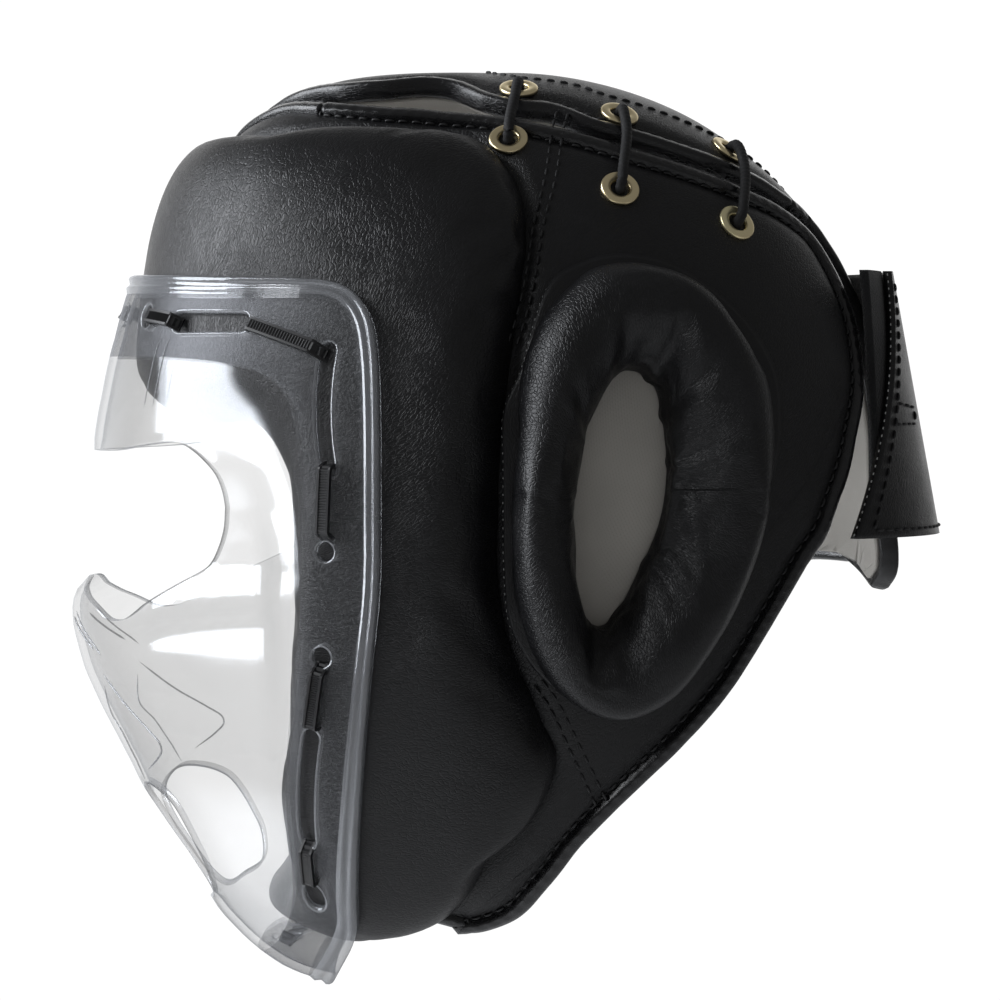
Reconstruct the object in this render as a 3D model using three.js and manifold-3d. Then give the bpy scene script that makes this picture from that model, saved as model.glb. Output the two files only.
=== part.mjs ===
// Head guard with a clear face mask. Units are mm. The face looks toward -Y, the wearer's left is +X, up is +Z.
// The origin is the middle of the head space. Outlines are directions from it: degrees round from the face, degrees up.
import * as THREE from "three";
import Module from "manifold-3d";

const solidKit = await Module();
solidKit.setup();

// The head space: half breadth, reach to the face and to the rear, rise to the crown, drop to the jaw.
const HALF_BREADTH = 76;
const FACE_REACH = 90;
const REAR_REACH = 113;
const CROWN_RISE = 121;
const JAW_DROP = 160;

const LINING_THICK = 1.2;
const CLEARANCE = 0.4;
const PANEL_THICK = 4.4;
const PAD_THICK = 17.8;
const MASK_WALL = 2.4;
const MASK_LIFT = 1.2;
const LIP_RISE = 1.3;
const BINDING_WIDTH = 4.4;
const BINDING_THICK = 6.6;
const EAR_CREST = 22.5;
const EAR_FLANGE = 1.8;
const EYELET_RADIUS = 5.6;
const EYELET_BORE = 2.9;
const CORD_RADIUS = 1.4;
const TIE_WIDTH = 4.0;
const TIE_THICK = 1.3;
const SLOT_WIDTH = 5.4;
const HOLE_RADIUS = 3.2;
const STRAP_THICK = 2.6;
const STRAP_TOP = 68;
const STRAP_BOTTOM = -9;

const CHIN_FROM = -40;
const CHIN_SIDE = 66;
const CHIN_FLOOR = 0.835;
const JAW_FLOOR = 0.835;

const PANEL_START = LINING_THICK + CLEARANCE;
const PANEL_END = PANEL_START + PANEL_THICK;
const PAD_END = PANEL_START + PAD_THICK;
const MASK_OFF = PAD_END + MASK_LIFT + MASK_WALL;

const rad = (degrees) => (degrees * Math.PI) / 180;
const deg = (radians) => (radians * 180) / Math.PI;
const ray = (round, up) =>
  new THREE.Vector3(
    Math.cos(rad(up)) * Math.sin(rad(round)),
    -Math.cos(rad(up)) * Math.cos(rad(round)),
    Math.sin(rad(up)),
  );
const mirror = (v) => new THREE.Vector3(-v.x, v.y, v.z);
const roundOf = (v) => deg(Math.atan2(v.x, -v.y));
const upOf = (v) => deg(Math.atan2(v.z, Math.hypot(v.x, v.y)));
const smooth = (t) => {
  const c = Math.min(1, Math.max(0, t));
  return c * c * (3 - 2 * c);
};
const mix = (a, b, t) => a + (b - a) * t;

function lookUp(table, x) {
  if (x >= table[0][0]) return table[0][1];
  for (let i = 1; i < table.length; i++) {
    if (x >= table[i][0]) {
      const t = (table[i - 1][0] - x) / (table[i - 1][0] - table[i][0]);
      return mix(table[i - 1][1], table[i][1], t);
    }
  }
  return table[table.length - 1][1];
}

// Distance from the origin to the head space, along a unit direction.
function headRadius(d) {
  const reach = d.y < 0 ? FACE_REACH : REAR_REACH;
  const height = d.z > 0 ? CROWN_RISE : JAW_DROP;
  const plan = Math.hypot(d.x, d.y) + 1e-9;
  const facing = -d.y / plan;
  const p = 2 + 0.3 * (facing * 0.5 + 0.5);
  const across = (Math.abs(d.x) / HALF_BREADTH) ** p + (Math.abs(d.y) / reach) ** p;
  const g = across ** (1 / p);
  const n = 2.2 + (facing > 0 ? 1.8 : -0.1) * facing * facing;
  return (g ** n + (Math.abs(d.z) / height) ** n) ** (-1 / n);
}

// Front profile of the mask: degrees up, distance from the origin as a share of the face reach.
const MASK_FRONT = [
  [36, 1.468], [33.5, 1.437], [31.7, 1.416], [28.4, 1.409], [23.1, 1.388], [15, 1.381], [6.9, 1.384],
  [0, 1.385], [-6, 1.389], [-10.5, 1.43], [-12, 1.478], [-13.4, 1.503], [-14.6, 1.512], [-16.5, 1.522],
  [-19.2, 1.527], [-22.1, 1.532], [-25, 1.53], [-28.4, 1.529], [-31.7, 1.529], [-35.4, 1.535],
  [-38.9, 1.55], [-43.5, 1.572], [-48.2, 1.596], [-53, 1.63], [-55.8, 1.647], [-58.6, 1.654],
  [-61.5, 1.652], [-64.9, 1.64], [-67, 1.628], [-71.1, 1.6], [-74.2, 1.58], [-80, 1.56],
];
// How square the mask is seen from above, by degrees up: 2 is an ellipse, less is pointed.
const MASK_POWER = [
  [33.5, 2.3], [25, 2.2], [15, 1.95], [6.9, 1.8], [0, 1.6], [-10, 1.45], [-20, 1.45], [-30, 1.6],
  [-40, 1.8], [-50, 2], [-60, 2.2], [-75, 2.2],
];

// Outer face of the flange and of what carries on behind it, low down where it is drawn in under the chin.
function chinShell(d) {
  const up = upOf(d);
  const round = Math.abs(roundOf(d));
  const front = lookUp(MASK_FRONT, up) * FACE_REACH;
  const side = headRadius(ray(Math.max(round, CHIN_SIDE), up)) + MASK_OFF;
  const reach = mix(front, side, smooth(round / CHIN_SIDE));
  const floor = mix(CHIN_FLOOR, JAW_FLOOR, smooth(round / CHIN_SIDE)) * JAW_DROP;
  const most = floor / Math.max(0.2, -Math.sin(rad(up)));
  return (reach ** -12 + most ** -12) ** (-1 / 12);
}

function flangeOff(d) {
  const up = upOf(d);
  const front = lookUp(MASK_FRONT, up) * FACE_REACH - headRadius(ray(0, up));
  const off = mix(front, MASK_OFF, smooth(Math.abs(roundOf(d)) / 52));
  if (up > CHIN_FROM) return off;
  return mix(off, chinShell(d) - headRadius(d), smooth((CHIN_FROM - up) / 12));
}

// How far the pad and its lining leave the head space, which is only under the chin and jaw.
function chinPull(d) {
  return Math.min(0, flangeOff(d) - MASK_OFF) * smooth((CHIN_FROM - upOf(d)) / 6);
}

// Outer face of the mask along a direction: a bowl in front, a flange laid on the pad round it.
function maskRadius(d) {
  const round = Math.abs(roundOf(d));
  const up = upOf(d);
  const onPad = Math.max(smooth((round - 50) / 16), smooth((up - 18) / 8), smooth((-up - 62) / 8));
  const front = lookUp(MASK_FRONT, up) * FACE_REACH;
  const side = headRadius(ray(90, up)) + MASK_OFF;
  const p = lookUp(MASK_POWER, up);
  const c = Math.abs(Math.cos(rad(round))) / front;
  const s = Math.abs(Math.sin(rad(round))) / side;
  const bowl = (c ** p + s ** p) ** (-1 / p);
  return mix(bowl, headRadius(d) + flangeOff(d), onPad);
}

const at = (d, radius) => d.clone().multiplyScalar(radius);

function slerp(a, b, t) {
  const angle = a.angleTo(b);
  if (angle < 1e-6) return a.clone();
  const s = Math.sin(angle);
  return a
    .clone()
    .multiplyScalar(Math.sin((1 - t) * angle) / s)
    .addScaledVector(b, Math.sin(t * angle) / s)
    .normalize();
}

function smoothRow(rows, count, closed = false) {
  const curve = new THREE.CatmullRomCurve3(rows, closed, "centripetal");
  const last = closed ? count : count - 1;
  return Array.from({ length: count }, (_, i) => curve.getPoint(i / last).normalize());
}

// A closed solid from lists of points and triangles; the faces are turned out if they come in.
function solidFrom(points, faces) {
  const position = new Float32Array(points.flatMap((p) => [p.x, p.y, p.z]));
  let volume = 0;
  for (const [a, b, c] of faces) {
    volume += points[a].dot(new THREE.Vector3().crossVectors(points[b], points[c]));
  }
  const order = volume < 0 ? faces.map(([a, b, c]) => [a, c, b]) : faces;
  return new solidKit.Manifold(
    new solidKit.Mesh({
      numProp: 3,
      vertProperties: position,
      triVerts: new Uint32Array(order.flat()),
    }),
  );
}

// Joins sections with the same count of points; open ends are capped across the section.
function loft(sections, closed = false) {
  const m = sections[0].length;
  const points = sections.flat();
  const faces = [];
  const spans = closed ? sections.length : sections.length - 1;
  for (let i = 0; i < spans; i++) {
    const here = i * m;
    const next = ((i + 1) % sections.length) * m;
    for (let j = 0; j < m; j++) {
      const k = (j + 1) % m;
      if (j < m / 2) faces.push([here + j, next + j, next + k], [here + j, next + k, here + k]);
      else faces.push([here + j, next + j, here + k], [next + j, next + k, here + k]);
    }
  }
  if (!closed) {
    for (const [start, flip] of [[0, false], [(sections.length - 1) * m, true]]) {
      for (let j = 0; j < m / 2 - 1; j++) {
        const quad = [start + j, start + j + 1, start + m - 2 - j, start + m - 1 - j];
        const [a, b, c, d] = flip ? quad.reverse() : quad;
        faces.push([a, b, c], [a, c, d]);
      }
    }
  }
  return solidFrom(points, faces);
}

// A cutter between two radii, along the directions of an outline.
function rayCutter(outline, inner = HALF_BREADTH / 2, outer = 2 * REAR_REACH) {
  const centre = outline.reduce((sum, d) => sum.add(d), new THREE.Vector3()).normalize();
  const side = new THREE.Vector3(0, 0, 1).cross(centre).normalize();
  const up = centre.clone().cross(side);
  const flatten = (d) => new THREE.Vector2(d.dot(side) / d.dot(centre), d.dot(up) / d.dot(centre));
  const loop = THREE.ShapeUtils.area(outline.map(flatten)) < 0 ? [...outline].reverse() : outline;
  const flat = loop.map(flatten);
  const n = loop.length;
  const points = [...loop.map((d) => at(d, inner)), ...loop.map((d) => at(d, outer))];
  const faces = [];
  for (const triangle of THREE.ShapeUtils.triangulateShape(flat, [])) {
    const turned = THREE.ShapeUtils.area(triangle.map((i) => flat[i])) < 0;
    const [a, b, c] = turned ? [...triangle].reverse() : triangle;
    faces.push([a, c, b], [a + n, b + n, c + n]);
  }
  for (let i = 0; i < n; i++) {
    const j = (i + 1) % n;
    faces.push([i, j, j + n], [i, j + n, i + n]);
  }
  return solidFrom(points, faces);
}

// A round or long hole in the mask between two directions, given its width in mm.
function slotOutline(from, to, width, segments = 6) {
  const half = width / 2 / maskRadius(from);
  const along = to.clone().sub(from);
  if (along.length() < 1e-6) along.copy(new THREE.Vector3(0, 0, 1));
  along.addScaledVector(from, -along.dot(from)).normalize();
  const side = from.clone().cross(along).normalize();
  const outline = [];
  for (const [end, start] of [[to, -90], [from, 90]]) {
    for (let i = 0; i <= segments; i++) {
      const a = rad(start + (180 * i) / segments);
      const d = end.clone().addScaledVector(along, Math.cos(a) * half).addScaledVector(side, Math.sin(a) * half);
      outline.push(d.normalize());
    }
  }
  return outline.filter((d, i) => d.distanceTo(outline[(i + 1) % outline.length]) > 1e-5);
}

// A bar that follows directions at given distances, with a rounded flat section.
function bar(rays, radii, width, thick, corner = 0.3) {
  const path = rays.map((d, i) => at(d, radii[i]));
  return loft(
    path.map((p, i) => {
      const before = path[Math.max(0, i - 1)];
      const after = path[Math.min(path.length - 1, i + 1)];
      const tangent = after.clone().sub(before).normalize();
      const out = rays[i].clone().addScaledVector(tangent, -rays[i].dot(tangent)).normalize();
      const side = tangent.clone().cross(out);
      const w = width / 2;
      const h = thick / 2;
      const c = corner * Math.min(width, thick);
      const corners = [
        [-w + c, h], [w - c, h], [w, h - c], [w, -h + c], [w - c, -h], [-w + c, -h], [-w, -h + c], [-w, h - c],
      ];
      return corners.map(([x, y]) => p.clone().addScaledVector(side, x).addScaledVector(out, y));
    }),
  );
}

function tube(path, radius, sides = 6) {
  const curve = new THREE.CatmullRomCurve3(path, false, "centripetal");
  const count = 12;
  const frames = curve.computeFrenetFrames(count - 1, false);
  return loft(
    Array.from({ length: count }, (_, i) => {
      const p = curve.getPointAt(i / (count - 1));
      return Array.from({ length: sides }, (_, j) => {
        const a = rad((360 * (j + 0.5)) / sides);
        return p
          .clone()
          .addScaledVector(frames.normals[i], Math.cos(a) * radius)
          .addScaledVector(frames.binormals[i], Math.sin(a) * radius);
      });
    }),
  );
}

// Face frame pad: edge of the face opening, then the rear seam, from the forehead down one side to the chin.
const PAD_ROWS = [
  [0, 17.4, 0, 51.5], [12, 16.6, 9, 52], [20, 15.2, 21, 53.2], [29.2, 14.1, 30, 54.5],
  [36, 14.6, 42, 56.4], [42, 15.2, 55, 59.8], [48.1, 14.5, 70, 62.8], [51, 13.6, 82, 64.3],
  [53.1, 12.4, 91, 63.8], [55, 10.8, 96.5, 61.8], [56.6, 8.8, 101.5, 58], [58, 6.5, 104, 53],
  [58.8, 4.8, 104.2, 47], [59.3, 2.2, 102.8, 41], [59.5, -1, 101, 32.3], [59.5, -5, 98.6, 16.8],
  [59.3, -10, 97.6, 0], [59, -15.5, 97.6, -13], [58.3, -21, 99.2, -22.8], [57.4, -27, 101.5, -28.5],
  [56.5, -32, 106, -36], [55, -37, 109.8, -41.5], [53, -42, 107, -48], [51.5, -46.2, 98, -54.2],
  [49, -50.4, 91.1, -60.4], [47.5, -54, 84, -63.8], [45, -57, 72, -65.5], [36, -58.5, 58, -68],
  [20, -59, 35, -71.5], [0, -59.2, 0, -75],
];
// Share of the way across the pad, share of its full thickness there.
const PAD_PROFILE = [
  [0, 0.45], [0.03, 0.8], [0.11, 0.97], [0.3, 1], [0.55, 1], [0.76, 0.94], [0.9, 0.74], [0.97, 0.5], [1, 0.29],
];

function ringRows(count) {
  const half = PAD_ROWS.map(([a, b, c, d]) => [ray(a, b), ray(c, d)]);
  const other = half.slice(1, -1).reverse().map(([a, b]) => [mirror(a), mirror(b)]);
  const rows = [...half, ...other];
  const inner = smoothRow(rows.map((r) => r[0]), count, true);
  const outer = smoothRow(rows.map((r) => r[1]), count, true);
  return inner.map((d, i) => [d, outer[i]]);
}

function facePad() {
  return loft(
    ringRows(46).map(([a, b]) => {
      const front = [];
      const back = [];
      for (const [share, full] of PAD_PROFILE) {
        const d = slerp(a, b, share);
        const base = headRadius(d) + chinPull(d) + PANEL_START;
        const room = upOf(d) < 34 ? maskRadius(d) - MASK_WALL - MASK_LIFT : Infinity;
        front.push(at(d, Math.min(base + PAD_THICK * full, room)));
        back.push(at(d, base));
      }
      return [...front, ...back.reverse()];
    }),
    true,
  );
}

function padLining() {
  return loft(
    ringRows(46).map(([a, b]) => {
      const front = [];
      const back = [];
      for (const [share] of PAD_PROFILE.slice(1, -1)) {
        const d = slerp(a, b, share);
        const base = headRadius(d) + chinPull(d);
        front.push(at(d, base + LINING_THICK));
        back.push(at(d, base));
      }
      return [...front, ...back.reverse()];
    }),
    true,
  );
}

// Side panel: along the pad seam and then the lower edge, paired with the crown edge and then the rear edge.
const PANEL_ROWS = [
  [6, 52.4, 8, 55.8], [21, 53.6, 17, 59], [30, 54.9, 25.4, 61.3], [42, 56.8, 41.6, 63.6],
  [55, 60.2, 54.7, 65.8], [70, 63.2, 69.5, 68.6], [82, 64.7, 85.8, 69.9], [91.3, 64.3, 100, 69],
  [97.2, 62.2, 113, 66.8], [102.2, 58.2, 125, 64], [104.7, 53, 137, 59.5], [104.3, 44.5, 148, 54.8],
  [101.8, 32.8, 158.6, 49.3], [99.2, 16.8, 167, 44.5], [98.2, 2, 171.6, 40], [98.4, -13.5, 172.3, 34],
  [100.4, -24.5, 171.6, 28], [106.5, -35.6, 170.2, 23.9], [110.5, -42.2, 168, 19.5],
  [107.4, -49, 166, 16.5], [97.8, -56.4, 164, 13.5], [83, -66.2, 162.5, 11], [95.5, -64.8, 161.2, 8.4],
  [105, -59.6, 160.2, 6.2], [112.2, -53.8, 159.4, 4.6], [121, -47.2, 158.9, 3.4], [130.5, -39.2, 158.5, 2.4],
  [138.3, -30.4, 158, 1.4], [144.5, -20, 157.4, -0.4], [150.6, -9.2, 156, -3.2],
];
const PAD_SEAM_ROWS = 21;
// The other panel comes over the crown to meet it: its crown edge, in the same order of rows.
const FAR_CROWN = [
  [3, 58.6], [12, 61.6], [21, 64.2], [36, 67], [47.1, 70], [60, 74.6], [72, 75.6], [91, 73.1],
  [103, 71.2], [118, 69.4], [129, 65], [141, 60.6], [152, 55.8], [163, 50.4], [171, 45.4], [178, 41],
  [-178.5, 36.5], [-176.4, 31], [-174.8, 25.5], [-173.5, 20.5], [-172.5, 16], [-171.7, 12], [-171.2, 8.5],
  [-170.9, 5], [-170.7, 2], [-170.5, -1.5], [-170.2, -4.6], [-169.8, -7.6], [-169, -10.4], [-166.4, -13],
];
// Its lower edge is higher, and the rear corner stands off towards the strap.
const FAR_SEAM_FROM = 21;
const FAR_SEAM = [
  [-82, -66], [-90, -63.8], [-97.5, -60.4], [-104.5, -55.8], [-112, -49.6], [-121, -41.4], [-131, -29],
  [-143, -11], [-158, -7.5],
];
const CORNER_FLARE = 4.4;
const JAW_PULL = 0.35;
const RIGHT = -1;
const LEFT = 1;

// Distance from the origin to the inner face of a side panel's lining.
function panelBase(d, side) {
  const base = headRadius(d) + JAW_PULL * chinPull(d);
  if (side === LEFT) return base;
  return base + CORNER_FLARE * smooth((4 - upOf(d)) / 16) * smooth((-roundOf(d) - 148) / 14);
}

function panelEdges(side) {
  return PANEL_ROWS.map(([a, b, c, d], i) => {
    const seam = ray(a, b);
    const edge = ray(c, d);
    if (side === LEFT) return [seam, edge];
    const low = FAR_SEAM[i - FAR_SEAM_FROM];
    return [low ? ray(...low) : mirror(seam), ray(...FAR_CROWN[i])];
  });
}

function panelRows(side, count) {
  const rows = panelEdges(side);
  const seam = smoothRow(rows.map((r) => r[0]), count);
  const edge = smoothRow(rows.map((r) => r[1]), count);
  return seam.map((d, i) => {
    const row = (i / (count - 1)) * (rows.length - 1);
    return [d, edge[i], row];
  });
}

// Angle to move in from an edge, so that the distance square to the edge is the given width in mm.
function insetAngle(edge, other, i, width) {
  const tangent = edge[Math.min(edge.length - 1, i + 1)].clone().sub(edge[Math.max(0, i - 1)]).normalize();
  const across = other[i].clone().sub(edge[i]);
  across.addScaledVector(edge[i], -across.dot(edge[i])).normalize();
  const slant = Math.sqrt(Math.max(0, 1 - across.dot(tangent) ** 2));
  return width / headRadius(edge[i]) / Math.max(0.45, slant);
}

function panelShell(side, start, end, across, count) {
  const rows = panelRows(side, count);
  const seams = rows.map((r) => r[0]);
  const edges = rows.map((r) => r[1]);
  const sections = rows.map(([seam, edge, row], i) => {
    const span = seam.angleTo(edge);
    const bound = BINDING_WIDTH + CLEARANCE;
    const lower = row > PAD_SEAM_ROWS - 0.9;
    const low = lower ? insetAngle(seams, edges, i, bound) / span : 0.003 / span;
    const high = 1 - insetAngle(edges, seams, i, bound) / span;
    const front = [];
    const back = [];
    for (let j = 0; j <= across; j++) {
      const d = slerp(seam, edge, mix(low, high, j / across));
      front.push(at(d, panelBase(d, side) + end));
      back.push(at(d, panelBase(d, side) + start));
    }
    return [...front, ...back.reverse()];
  });
  sections.pop();
  return loft(sections);
}

function bindingBar(side, extra = 0) {
  const rows = panelRows(side, 36);
  const seams = rows.map((r) => r[0]);
  const edges = rows.map((r) => r[1]);
  const crown = edges.map((d, i) => {
    return slerp(d, seams[i], insetAngle(edges, seams, i, BINDING_WIDTH / 2) / d.angleTo(seams[i]));
  });
  const lower = seams
    .map((d, i) => slerp(d, edges[i], insetAngle(seams, edges, i, BINDING_WIDTH / 2) / d.angleTo(edges[i])))
    .filter((d, i) => rows[i][2] > PAD_SEAM_ROWS - 0.2)
    .reverse();
  const rays = [...crown, ...lower.slice(1)];
  const mid = PANEL_START - CLEARANCE + BINDING_THICK / 2;
  return bar(rays, rays.map((d) => panelBase(d, side) + mid), BINDING_WIDTH + extra, BINDING_THICK + 4 * extra);
}

// The largest body that is left after a cut.
function mainBody(solid) {
  return solid.decompose().reduce((best, body) => (body.volume() > best.volume() ? body : best));
}

// Ear pad: its outer seam, the hole and the thin flange behind it.
const EAR_CENTRE = [120, 3.5];
const EAR_RING = [
  [102, 21.4], [103.6, 27.8], [106, 32.2], [109.6, 36], [115, 39.1], [120.4, 39.5], [125.8, 38.6],
  [134.2, 35.3], [139.2, 30.5], [142.6, 24.3], [143.8, 18.6], [143.7, 12.4], [143.3, 6.2], [142, -0.5],
  [139.6, -8.4], [136.2, -16.3], [132.3, -22.9], [128.1, -28.4], [123.7, -31.1], [118.9, -32.4],
  [113.9, -31.9], [107.8, -28.7], [104, -24], [101.4, -15.6], [100.6, -6.4], [100.6, 2.9], [101.4, 13.1],
];
const EAR_HOLE = [
  [122.6, 24.8], [126.2, 23.7], [128, 21.4], [128.9, 15.4], [129.2, 6.2], [127.9, -2.4], [124.3, -11.2],
  [119.6, -20.2], [117.4, -21.2], [114.8, -20.2], [112.8, -14.6], [111.8, -6.6], [111.6, 1],
  [113, 10.4], [115.6, 17.4], [119.2, 22.6],
];
const EAR_BASE = [
  [102.4, 26.2], [103.8, 30.5], [105.2, 34], [107, 37.6], [109.6, 40.2], [114.6, 41.8], [119.6, 42.4],
  [125.4, 41.8], [131.2, 40.2], [138.7, 35.3], [144.3, 28.8], [147.1, 22.9], [147.8, 18.2],
  [147.2, 12.2], [146, 7.2], [143.4, -1.7], [141, -9], [136.9, -17.3], [133.4, -24], [129, -29.4],
  [124, -32.1], [118.9, -33.3], [113.4, -32.9], [106.6, -29.7], [102, -25], [99.6, -20], [98.7, -10],
  [98.6, 0], [98.6, 9.1], [98.6, 18],
];
// Share of the way from the outer seam to the hole, share of the crest height above the panel.
const EAR_PROFILE = [
  [0, 0.15], [0.07, 0.6], [0.23, 0.92], [0.42, 1], [0.62, 0.86], [0.82, 0.5], [1, 0.06],
];

function aroundEar(outline, count) {
  const centre = ray(...EAR_CENTRE);
  const side = new THREE.Vector3(0, 0, 1).cross(centre).normalize();
  const up = centre.clone().cross(side);
  const polar = outline
    .map(([a, b]) => {
      const d = ray(a, b);
      return [Math.atan2(d.dot(up), d.dot(side)), d.angleTo(centre)];
    })
    .sort((a, b) => a[0] - b[0]);
  const turn = 2 * Math.PI;
  const wrapped = [
    ...polar.slice(-3).map(([a, r]) => [a - turn, r]),
    ...polar,
    ...polar.slice(0, 3).map(([a, r]) => [a + turn, r]),
  ];
  return Array.from({ length: count }, (_, i) => {
    const a = -Math.PI + (turn * i) / count;
    let k = 1;
    while (wrapped[k][0] < a) k++;
    const [a0, r0] = wrapped[k - 1];
    const [a1, r1] = wrapped[k];
    const r = mix(r0, r1, (a - a0) / (a1 - a0));
    const spoke = side.clone().multiplyScalar(Math.cos(a)).addScaledVector(up, Math.sin(a));
    return centre.clone().multiplyScalar(Math.cos(r)).addScaledVector(spoke, Math.sin(r));
  });
}

const BASE_START = PANEL_END + 1.1;
const RING_START = BASE_START + EAR_FLANGE + CLEARANCE;
const TUCK = 0.86;
const EAR_SPOKES = 26;

function earPad(side) {
  const outer = aroundEar(EAR_RING, EAR_SPOKES);
  const hole = aroundEar(EAR_HOLE, EAR_SPOKES);
  return loft(
    outer.map((o, i) => {
      const section = EAR_PROFILE.map(([share, rise]) => {
        const d = slerp(o, hole[i], share);
        return [d, mix(RING_START, EAR_CREST, rise)];
      });
      for (const [share, off] of [
        [1, PANEL_START], [TUCK + 0.06, PANEL_START], [TUCK + 0.05, RING_START], [0.45, RING_START],
        [0.02, RING_START],
      ]) {
        section.push([slerp(o, hole[i], share), off]);
      }
      return section.map(([d, off]) => {
        const p = at(d, headRadius(d) + off);
        return side === LEFT ? p : mirror(p);
      });
    }),
    true,
  );
}

function earBase(side) {
  const outline = aroundEar(EAR_BASE, EAR_SPOKES);
  const ring = aroundEar(EAR_RING, EAR_SPOKES);
  const hole = aroundEar(EAR_HOLE, EAR_SPOKES);
  return loft(
    outline.map((o, i) => {
      const inner = slerp(ring[i], hole[i], 0.5);
      return [[o, EAR_FLANGE], [inner, EAR_FLANGE], [inner, 0], [o, 0]].map(([d, rise]) => {
        const p = at(d, headRadius(d) + BASE_START + rise);
        return side === LEFT ? p : mirror(p);
      });
    }),
    true,
  );
}

function earCutter(side, share) {
  const ring = aroundEar(EAR_RING, EAR_SPOKES);
  const hole = aroundEar(EAR_HOLE, EAR_SPOKES).map((d, i) => slerp(ring[i], d, share));
  return rayCutter(side === LEFT ? hole : hole.map(mirror));
}

// Eyelets in pairs from the front: one in the left panel, one in the right panel.
const EYELETS = [
  [101.2, 65, 109, 76.3], [129, 53.8, 143, 66.6], [152, 44.2, 168.5, 55.6],
];

function surfaceNormal(d) {
  const step = 0.01;
  const side = Math.abs(d.z) > 0.98 ? new THREE.Vector3(1, 0, 0) : new THREE.Vector3(0, 0, 1);
  const u = side.cross(d).normalize();
  const v = d.clone().cross(u).normalize();
  const p = (a, b) => {
    const q = d.clone().addScaledVector(u, a).addScaledVector(v, b).normalize();
    return at(q, headRadius(q));
  };
  const du = p(step, 0).sub(p(-step, 0));
  const dv = p(0, step).sub(p(0, -step));
  return du.cross(dv).normalize();
}

function eyeletFrame(d) {
  const n = surfaceNormal(d);
  const base = at(d, headRadius(d));
  const x = new THREE.Vector3(0, 0, 1).cross(n).normalize();
  return { base, n, x, y: n.clone().cross(x) };
}

function eyelet(d) {
  const { base, n, x, y } = eyeletFrame(d);
  const top = PANEL_END + CLEARANCE;
  const profile = [
    [EYELET_BORE, 0.4], [EYELET_BORE + 0.5, 0.4], [EYELET_BORE + 0.5, top], [EYELET_RADIUS, top],
    [EYELET_RADIUS * 0.84, top + 1.5], [EYELET_BORE + 0.4, top + 1.5],
  ];
  const sides = 14;
  return loft(
    Array.from({ length: sides }, (_, i) => {
      const a = rad((360 * i) / sides);
      const spoke = x.clone().multiplyScalar(Math.cos(a)).addScaledVector(y, Math.sin(a));
      return profile.map(([r, h]) => base.clone().addScaledVector(spoke, r).addScaledVector(n, h));
    }),
    true,
  );
}

function eyeletCutter(d) {
  const { base, n, x, y } = eyeletFrame(d);
  const sides = 12;
  const radius = EYELET_BORE + 1;
  const sections = [-6, 14].map((h) =>
    Array.from({ length: sides }, (_, i) => {
      const a = rad((360 * i) / sides);
      return base
        .clone()
        .addScaledVector(x, Math.cos(a) * radius)
        .addScaledVector(y, Math.sin(a) * radius)
        .addScaledVector(n, h);
    }),
  );
  return loft(sections);
}

function lace(a, b) {
  const from = eyeletFrame(a);
  const to = eyeletFrame(b);
  const over = PANEL_END + CLEARANCE + 1.5 + CORD_RADIUS + 0.5;
  const path = [];
  const step = (frame, toward, out, rise) => {
    const way = toward.base.clone().sub(frame.base);
    way.addScaledVector(frame.n, -way.dot(frame.n)).normalize();
    return frame.base.clone().addScaledVector(way, out).addScaledVector(frame.n, rise);
  };
  path.push(step(from, to, -0.4, 2.4), step(from, to, -0.3, over - 3), step(from, to, 1.4, over - 0.4));
  path.push(step(from, to, 4.6, over + 0.3));
  const mid = slerp(a, b, 0.5);
  path.push(at(mid, headRadius(mid) + over + 1));
  path.push(step(to, from, 4.6, over + 0.3), step(to, from, 1.4, over - 0.4));
  path.push(step(to, from, -0.3, over - 3), step(to, from, -0.4, 2.4));
  return tube(path, CORD_RADIUS);
}

// Mask outline on one side, from the middle of the forehead to under the chin.
const MASK_OUTLINE = [
  [0, 31.5], [14, 31.4], [27.6, 31.6], [42.5, 32.3], [53, 33.1], [63, 33.9], [68.5, 34], [71.8, 33.2],
  [74.2, 31.6], [76, 29], [77.3, 24], [78.2, 14.4], [78.5, 1.9], [78.2, -12], [76.2, -24.9],
  [73.6, -37.3], [71.2, -46], [68.6, -52.9], [66.4, -57], [62, -60.2], [52, -64], [38, -67.6],
  [20, -70.6], [0, -71.8],
];
const MASK_AXIS = [0, -18];
// Share of the way out to the mask outline, share of the lip rise there.
const MASK_LOOPS = [
  [1, 0.35], [0.985, 1], [0.955, 1], [0.935, 0.1], [0.87, 0], [0.79, 0], [0.7, 0], [0.59, 0], [0.47, 0],
  [0.34, 0], [0.22, 0], [0.14, 0], [0.06, 0],
];
const EYE_OPENING = [
  [0, 6.9], [12.1, 7.2], [22.2, 7.8], [32, 9.1], [38.2, 9.7], [41.4, 9.2], [44.9, 7.3], [46.9, 5.2],
  [47.4, 2.4], [46.6, -0.7], [45.6, -3.3], [43.7, -6], [41.5, -8.6], [39.4, -10.1], [32.2, -12.8],
  [25.4, -15], [21.4, -16.5], [18.4, -17], [15.6, -16.6], [11.5, -14.4], [6, -12], [2.5, -10.7], [0, -10.5],
];
const VENT = [
  [3.2, -41.2], [11.2, -38.6], [17.5, -39.6], [22.5, -41.8], [24.6, -44.3], [25.8, -47], [26.3, -49.5],
  [24, -52.3], [16, -53.4], [3.6, -53],
];
const SLOTS = [
  [39.2, 26.2, 52.7, 27.3], [68.8, 24.5, 69.9, 6.4], [64.8, -33.5, 60.8, -45.9],
];
const HOLES = [[30, 26.4], [69.3, -6.4], [67.9, -22.4], [58.4, -53.2], [6, 26.2], [12, -64]];

function maskOutline(count) {
  const half = MASK_OUTLINE.map(([a, b]) => ray(a, b));
  const other = half.slice(1, -1).reverse().map(mirror);
  return smoothRow([...half, ...other], count, true);
}

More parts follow.
